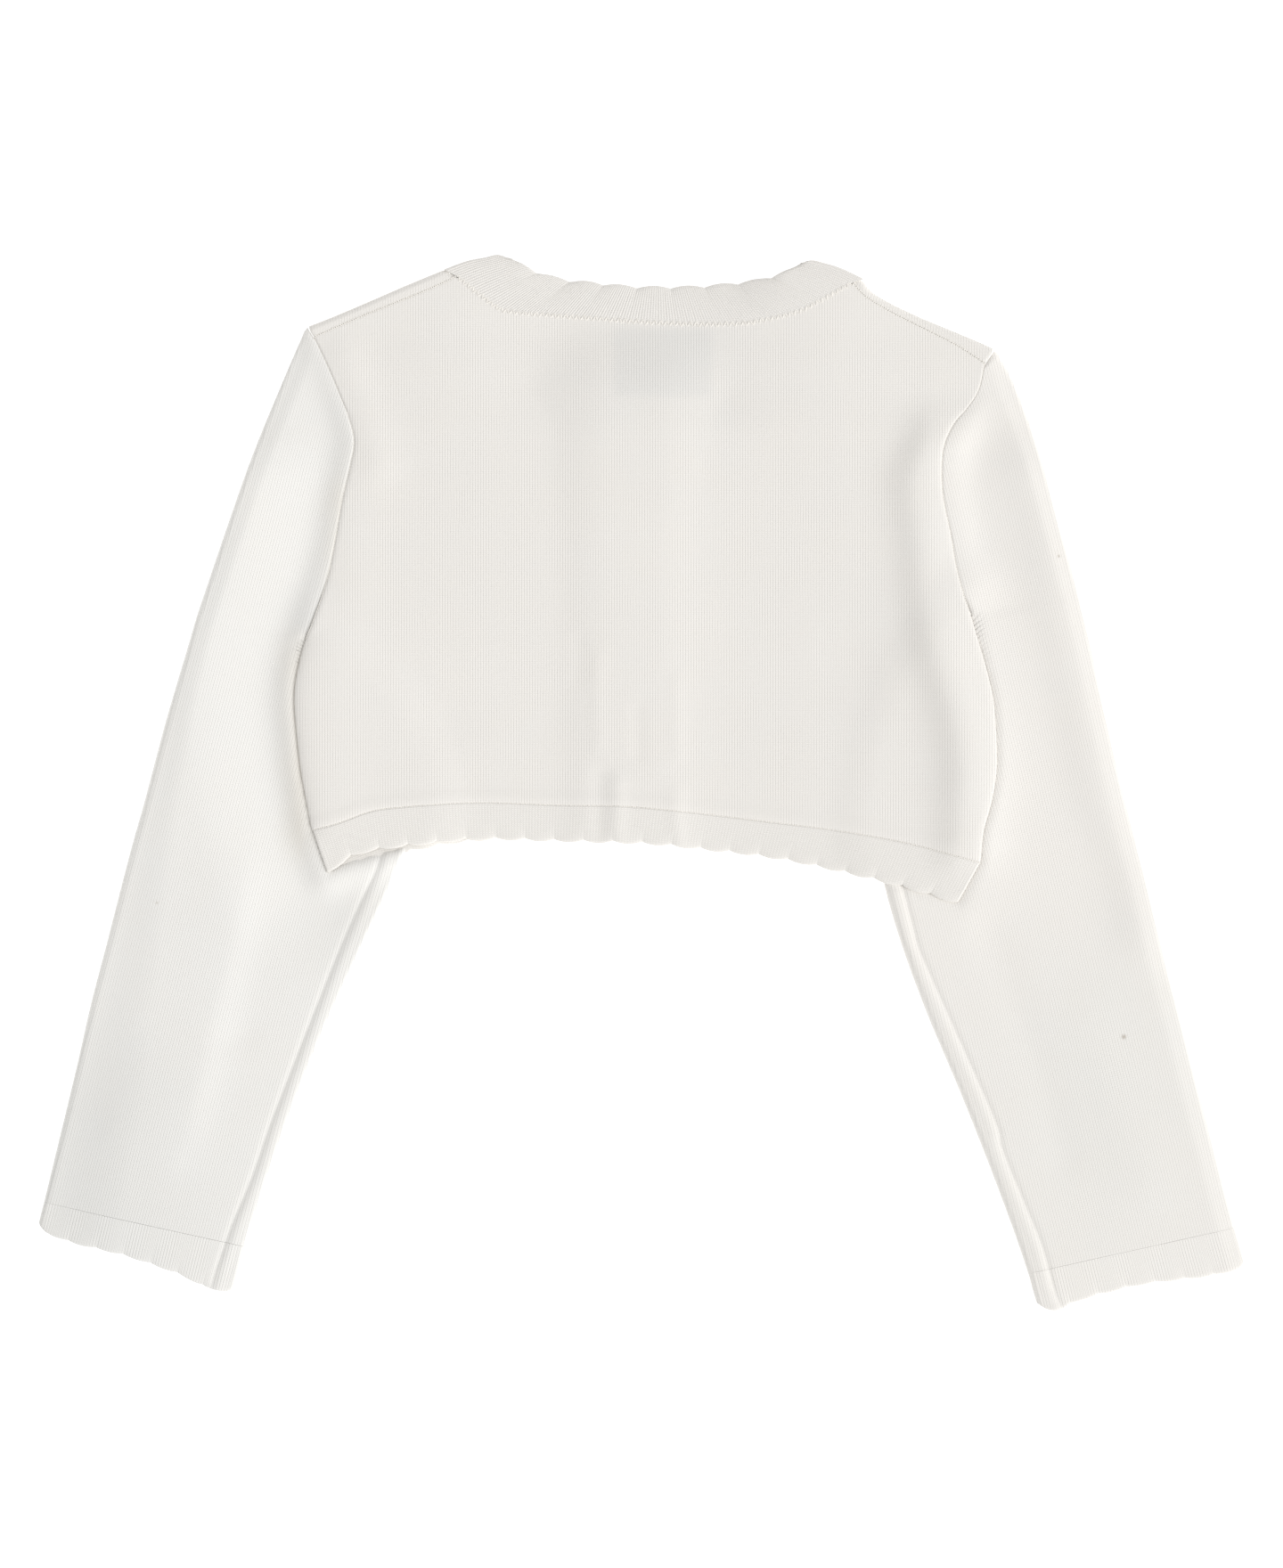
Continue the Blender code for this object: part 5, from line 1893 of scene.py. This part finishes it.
@dataclass(frozen=True)
class Cuff(ClothPart):
    """One cuff: a flat ring with a scalloped edge."""

    stem: ClassVar[str] = "cuff"
    cut: ClassVar[Cut] = Cut(162.0, 15.5, 2450.0)
    scallops: int = 7
    rows: int = 18
    length: float = 15.0
    depth: float = 0.7
    corner: float = 2.2
    corner_reach: float = 3.5
    pucker: float = 0.2
    fall: float = 0.4

    def wall(self) -> Wall:
        """Shape the cuff.

        Returns:
            Its wall.
        """
        outlines, sign = SIDES[self.side], self.side.value
        last = np.array(outlines.sleeve_rows[-1])
        outer, inner = last[:2], last[2:]
        whole = float(np.linalg.norm(inner - outer))
        along = (inner - outer) / whole
        down = -sign * np.array([along[1], -along[0]])
        width = whole - WALL
        near = FOLD_RADIUS / width
        bend = near * fold_bend()
        middle = np.linspace(near, 1.0 - near, rib_steps(width) + 1)
        f = np.concatenate([bend[:-1], middle, 1.0 - bend[::-1][1:]])
        start = outer + along * WALL / 2 + down * -LINK_LAP
        joint = start + along * width * f[:, None]
        phase = np.clip((f - near) / (1.0 - 2 * near), 0.0, 1.0) * self.scallops
        rim = at_fractions(outlines.cuff_edge, f)
        reach = np.minimum(f, 1.0 - f) * width
        drop = self.depth * swell(phase) - self.corner * (1.0 - rounded(reach, self.corner_reach))
        rim = rim + drop[:, None] * down
        rim[0] += along * WALL / 2
        rim[-1] -= along * WALL / 2
        v = spread(self.rows, self.length)[:, None, None]
        plan = joint * (1.0 - v) + rim * v
        half = (WALL + SLEEVE_SPACE) / 2
        side_z = WALL / 2 + half
        flat = side_z + half
        round_off = rounded(reach, FOLD_RADIUS)
        sleeve = Sleeve(self.side)
        top = sleeve.top_height(plan) - sleeve.edge_fall(f * width)
        top = flat + (top - flat) * (1.0 - self.fall * v[..., 0])
        upper = side_z + (top - side_z) * round_off
        under = side_z - half * round_off * np.ones_like(top)
        grid = all_round(raised(plan, upper), raised(plan, under))
        up = lengths(plan)
        relief = band_relief(f * width, up, phase, BAND_RIB, self.pucker) * round_off
        relief, up = all_round(relief, relief), all_round(up, up)
        knit = np.stack([np.broadcast_to(lengths(grid[0]), up.shape), up], axis=-1)
        weights = lips(grid, CUFF_LIP, LIP, 0.0, 0.0)
        wall = Wall(grid, knit, WALL, weights, relief, closed=True)
        return flipped(wall, across_columns=False) if self.side is Side.LEFT else wall


@dataclass(frozen=True)
class NeckLabel(ClothPart):
    """The blank label, sewn in under the back neck seam."""

    stem: ClassVar[str] = "neck_label"
    ending: ClassVar[str] = "tape"
    slot: ClassVar[Slot] = Slot.LABEL
    cut: ClassVar[Cut] = Cut(40.0, 28.0, 1120.0)
    left: float = -11.5
    top: float = 184.0
    size: tuple[float, float] = (40.0, 28.0)
    steps: tuple[int, int] = (40, 28)
    thickness: float = 0.9

    def wall(self) -> Wall:
        """Shape the label.

        Returns:
            Its wall.
        """
        x = self.left + self.size[0] * spread(self.steps[0], self.size[0])
        y = self.top - self.size[1] * (1.0 - spread(self.steps[1], self.size[1]))
        plan = np.stack(np.meshgrid(x, y), axis=-1)
        height = LAYERS.back_creased(plan) - LABEL_GAP - LABEL_WALL
        grid = laid(plan, height, LABEL_WALL)
        return Wall(grid, plan, self.thickness, lips(grid))


@dataclass(frozen=True)
class Button:
    """A four-hole button that faces the surface, sewn to the left front's band."""

    number: int
    y: float
    segments: int = 48
    hole_radius: float = 0.65
    hole_away: float = 1.35
    pin_sides: int = 12
    pin_reach: tuple[float, float] = (-1.0, 3.0)
    profile: Table = (
        # distance from the axis, z
        (0.0, 0.45), (1.6, 0.45), (2.6, 0.42), (3.3, 0.30), (3.8, 0.08), (4.2, 0.0), (4.9, 0.04),
        (5.3, 0.22), (5.5, 0.5), (5.5, 1.1), (5.3, 1.42), (4.9, 1.58), (4.3, 1.6), (0.0, 1.6),
    )

    def turned(self) -> tuple[np.ndarray, list[tuple[int, ...]]]:
        """Points and faces of the turned disc."""
        turn = np.arange(self.segments) * math.tau / self.segments
        points, faces, rings = [], [], []
        for distance, z in self.profile:
            count = self.segments if distance else 1
            rings.append([len(points) + k % count for k in range(self.segments)])
            for angle in turn[:count]:
                points.append((OPENING_X + distance * math.cos(angle),
                               self.y + distance * math.sin(angle), z))
        for first, second in zip(rings[:-1], rings[1:]):
            for k in range(self.segments):
                ahead = (k + 1) % self.segments
                corners = (first[k], first[ahead], second[ahead], second[k])
                faces.append(tuple(dict.fromkeys(corners)))
        return np.array(points), faces

    def holes(self) -> bpy.types.Object:
        """Four pins that cut the holes."""
        turns = np.arange(self.pin_sides) * math.tau / self.pin_sides
        ring = self.hole_radius * np.column_stack([np.cos(turns), np.sin(turns)])
        points, faces = [], []
        for quarter in range(4):
            angle = math.pi / 4 + quarter * math.pi / 2
            centre = (OPENING_X + self.hole_away * math.cos(angle),
                      self.y + self.hole_away * math.sin(angle))
            start = 2 * quarter * self.pin_sides
            low = list(range(start, start + self.pin_sides))
            high = [corner + self.pin_sides for corner in low]
            points += [np.column_stack([ring + centre, np.full(self.pin_sides, z)])
                       for z in self.pin_reach]
            faces += [low[::-1], high]
            faces += [list(corners) for corners in
                      zip(low, low[1:] + low[:1], high[1:] + high[:1], high)]
        return placed(plain_mesh("button_pins", np.vstack(points), faces))

    def build(self, finish: bpy.types.Material) -> bpy.types.Object:
        """Make the button.

        Args:
            finish: Its plastic.

        Returns:
            The new piece.
        """
        piece = placed(plain_mesh(f"button_{self.number}_disc", *self.turned(), finish))
        cutter = piece.modifiers.new("Holes", "BOOLEAN")
        cutter.operation = "DIFFERENCE"
        cutter.object = self.holes()
        graph = bpy.context.evaluated_depsgraph_get()
        drilled = bpy.data.meshes.new_from_object(piece.evaluated_get(graph))
        bpy.data.objects.remove(cutter.object)
        piece.modifiers.clear()
        piece.data = drilled
        drilled.shade_smooth()
        drilled.set_sharp_from_angle(angle=SHARP_BUTTON)
        return declare(piece, Slot.BUTTON, [f"button_{self.number}"])


def tube(path: np.ndarray, sideways: np.ndarray, upward: np.ndarray | Sequence[float],
         radius: np.ndarray | float, sides: int) -> list[np.ndarray]:
    """The lines of points that run along a strand of yarn.

    Args:
        path: The middle points.
        sideways: The direction across the strand at each of them.
        upward: The direction over it.
        radius: Its radius, for all of them or for each.
        sides: How many lines there are.

    Returns:
        The lines.
    """
    turns = [math.tau * k / sides for k in range(sides)]
    return [path + radius * (math.cos(turn) * sideways + math.sin(turn) * np.asarray(upward))
            for turn in turns]


@dataclass(frozen=True)
class Stitching:
    """A row of linking stitches along a line on the garment's upper face."""

    name: str
    line: np.ndarray
    pitch: float = 1.8
    sway: float = 0.34
    radius: float = 0.26
    sink: float = 0.3
    strands: int = 2
    zigzag: bool = False
    bob: float = 0.12
    sides: int = 6
    step: float = 0.36

    def strand(self, phase: float) -> tuple[np.ndarray, np.ndarray]:
        """The middle points of one strand, and how far along it each lies.

        Args:
            phase: How far its sway is ahead, in whole turns.

        Returns:
            The points and the distances.
        """
        along = lengths(self.line)
        places = np.arange(0.0, along[-1], self.step)
        plan = np.stack([np.interp(places, along, self.line[:, k]) for k in (0, 1)], axis=1)
        turn = math.tau * (places / self.pitch + phase)
        side = np.sin(turn)
        if self.zigzag:
            side = np.arcsin(np.clip(side, -1.0, 1.0)) * 2.0 / math.pi
        plan = moved(plan, self.sway * side)
        height = LAYERS.back_creased(plan) + WALL - self.sink + self.bob * np.cos(2.0 * turn)
        return np.column_stack([plan, height]), places

    def build(self, finish: bpy.types.Material) -> bpy.types.Object:
        """Make the stitches.

        Args:
            finish: Their yarn.

        Returns:
            The new piece.
        """
        points, faces, places = [], [], []
        start = 0
        for number in range(self.strands):
            path, along = self.strand(number / 2)
            ahead = np.gradient(path, axis=0)
            ahead /= np.linalg.norm(ahead, axis=1)[:, None]
            sideways = np.cross(ahead, (0.0, 0.0, 1.0))
            sideways /= np.linalg.norm(sideways, axis=1)[:, None]
            upward = np.cross(sideways, ahead)
            points += tube(path, sideways, upward, self.radius, self.sides)
            places += [np.stack([np.full(len(path), k / self.sides), along], axis=1)
                       for k in range(self.sides)]
            index = start + np.arange(self.sides * len(path)).reshape(self.sides, len(path))
            ring = np.vstack([index, index[:1]])
            faces += grid_quads(ring)[:, ::-1].tolist()
            faces += [index[:, 0].tolist()[::-1], index[:, -1].tolist()]
            start += index.size
        piece = solid(self.name, np.vstack(points), faces, np.vstack(places), finish)
        return declare(piece, Slot.RIB, [])


@dataclass(frozen=True)
class Buttonhole:
    """The stitched edge of a buttonhole in the outer front band, above its button."""

    number: int
    y: float
    length: float = 12.6
    width: float = 2.2
    squareness: float = 1.6
    radius: float = 0.3
    bead: float = 0.12
    beads: int = 26
    steps: int = 208
    sides: int = 6

    def build(self, finish: bpy.types.Material) -> bpy.types.Object:
        """Make the stitched edge.

        Args:
            finish: Its yarn.

        Returns:
            The new piece.
        """
        turn = np.arange(self.steps) * math.tau / self.steps
        radius = self.radius + self.bead * np.cos(self.beads * turn)
        sideways = np.column_stack([np.cos(turn), np.sin(turn), np.zeros(self.steps)])
        straight = np.clip(np.cos(turn) * self.squareness, -1.0, 1.0)
        path = self.width / 2 * sideways + (OPENING_X, self.y, OUTER_BAND_Z)
        path[:, 0] += (self.length - self.width) / 2 * straight
        grid = tube(path, sideways, (0.0, 0.0, 1.0), radius[:, None], self.sides)
        index = np.arange(self.sides * self.steps).reshape(self.sides, self.steps)
        ring = np.vstack([index, index[:1]])
        ring = np.hstack([ring, ring[:, :1]])
        places = np.stack(np.meshgrid(turn * self.length, np.arange(self.sides) / self.sides),
                          axis=-1).reshape(-1, 2)
        piece = solid(f"buttonhole_{self.number}_stitches", np.vstack(grid),
                      grid_quads(ring).tolist(), places, finish)
        return declare(piece, Slot.RIB, [])


def stitch_rows() -> list[Stitching]:
    """Every row of stitches on the upper face."""
    rows = [Stitching("hem_seam_stitches", moved(dense_path(HEM_SEAM), -SEAM_GAP / 2)),
            Stitching("neck_seam_stitches", moved(dense_path(NECK_JOINT), SEAM_GAP / 2),
                      pitch=2.4, sway=1.1, radius=0.3, sink=0.05, strands=1, zigzag=True)]
    for side, outlines in SIDES.items():
        shoulder, armhole = (moved(dense_path(line), -side.value * SEAM_GAP / 2)
                             for line in (outlines.seam, outlines.armhole))
        rows += [Stitching(f"shoulder_{side.word}_stitches", shoulder, sway=0.42, sink=0.15),
                 Stitching(f"armhole_{side.word}_stitches", armhole, sway=0.2, radius=0.22,
                           sink=0.55)]
    return rows


@dataclass(frozen=True)
class Studio:
    """The floor, the soft light from the lower right and the camera straight above."""

    view: float = 633.6
    away: float = 2500.0
    sensor: float = 36.0
    clip_end: float = 10000.0
    floor_size: float = 4000.0
    floor_drop: float = 0.3
    dome: float = 0.715
    key: float = 1.90
    key_turn: tuple[float, float, float] = (0.0, 59.0, -24.0)
    key_spread: float = 52.0

    def build(self, finish: bpy.types.Material) -> None:
        """Set the garment out in the studio.

        Args:
            finish: The floor's.
        """
        half, z = self.floor_size / 2, -self.floor_drop
        corners = np.array([(-half, -half, z), (half, -half, z), (half, half, z), (-half, half, z)])
        floor = placed(plain_mesh("floor", corners, [(0, 1, 2, 3)], finish))
        self.light()
        self.look()

    def light(self) -> None:
        """An even dome and a broad light from the lower right."""
        scene = bpy.context.scene
        world = bpy.data.worlds.new("studio")
        world.use_nodes = True
        backdrop = world.node_tree.nodes["Background"]
        backdrop.inputs["Color"].default_value = opaque((1.0, 1.0, 1.0))
        backdrop.inputs["Strength"].default_value = self.dome
        scene.world = world
        scene.view_settings.view_transform = "Standard"
        lamp = bpy.data.lights.new("key", "SUN")
        lamp.energy = self.key
        lamp.angle = math.radians(self.key_spread)
        placed(lamp).rotation_euler = [math.radians(turn) for turn in self.key_turn]

    def look(self) -> None:
        """The camera, straight above the middle."""
        lens = bpy.data.cameras.new("camera")
        lens.sensor_width = self.sensor
        lens.lens = self.sensor * self.away / self.view
        lens.clip_end = self.clip_end * MM
        camera = placed(lens)
        camera.location = (0.0, 0.0, self.away * MM)
        bpy.context.scene.camera = camera


FLECK = (0.62, 0.58, 0.52)
BACK_PATCHES = (
    # the label under the knit, and a broad soft darkening round it
    Shadow((8.6, 170.1), (19.6, 13.8), 2.6, (0.950, 0.958, 0.965)),
    Shadow((6.0, 168.0), (38.0, 22.0), 12.0, (0.968, 0.971, 0.974)),
    Shadow((135.0, 80.3), (0.3, 0.4), 0.6, FLECK),
)
LEFT_PATCHES_AND_SHADE = (
    Shadow((-195.1, -47.9), (0.3, 0.3), 0.6, FLECK),
    # painted shade: the lower sleeve darker towards its outer corner at the cuff
    Shadow((-222.0, -165.0), (40.0, 50.0), 50.0, (0.905, 0.912, 0.915)),
    # painted shade in the valley along the body's left edge, warm as with light that the body
    # throws back
    Shadow((-121.5, 98.0), (1.0, 24.0), 10.0, (0.940, 0.908, 0.858)),
    Shadow((-138.0, 14.0), (2.0, 42.0), 11.0, (0.925, 0.890, 0.835)),
)
RIGHT_PATCHES = (
    Shadow((194.4, -101.9), (0.7, 0.7), 0.9, (0.56, 0.51, 0.45)),
    Shadow((168.1, 91.8), (0.4, 0.4), 0.6, FLECK),
    # the lower sleeve, darker and greyer towards the cuff
    Shadow((185.0, -130.0), (34.0, 60.0), 50.0, (0.955, 0.968, 0.970)),
)


@dataclass(frozen=True)
class Cardigan:
    """The whole garment."""

    button_y: tuple[float, ...] = (131.0, 86.0, 41.0, -4.0)

    def build(self) -> None:
        """Make every piece, dress it and put it on the root."""
        sleeve_knits = (KnitFinish("left_knit", LEFT_KNIT, shadows=LEFT_PATCHES_AND_SHADE).build(),
                        KnitFinish("right_knit", KNIT, shadows=RIGHT_PATCHES).build())
        front_knit = KnitFinish("front_knit", BACK_KNIT).build()
        back_knit = KnitFinish("back_knit", BACK_KNIT, shadows=BACK_PATCHES).build()
        rib = RibFinish("neckband_knit", BAND_KNIT).build()
        hem_knit = RibFinish("hem_knit", HEM_KNIT, hollow=0.05).build()
        yarn = ThreadFinish("linking_yarn", SEWING).build()
        sleeves, fronts, hems = ([kind(side=side) for side in Side]
                                 for kind in (Sleeve, FrontPanel, FrontHem))
        back, neckband = BackPanel(), BackNeckband()
        back.build(back_knit, fronts + sleeves, [row.build(yarn) for row in stitch_rows()])
        BackHem().build(hem_knit, hems)
        neckband.build(rib, [back])
        for side, knit, sleeve, front, hem in zip(Side, sleeve_knits, sleeves, fronts, hems):
            sleeve.build(knit)
            front.build(front_knit, [sleeve])
            hem.build(hem_knit)
            FrontBand(side=side).build(hem_knit)
            Cuff(side=side).build(knit)
            FrontNeckband(side=side).build(rib)
        NeckLabel().build(TapeFinish("label_tape", TAPE).build(), [neckband])
        pearl = PearlFinish("pearl", PEARL, PEARL_CLOUD).build()
        for number, y in enumerate(self.button_y, start=1):
            Button(number, y).build(pearl)
            Buttonhole(number, y).build(yarn)


def main() -> None:
    """Build the cardigan and its studio."""
    logging.basicConfig(level=logging.INFO, format="%(message)s")
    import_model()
    Studio().build(FloorFinish("floor_paper", PAPER, PAPER_GLOW).build())
    Cardigan().build()


if __name__ == "__main__":
    main()
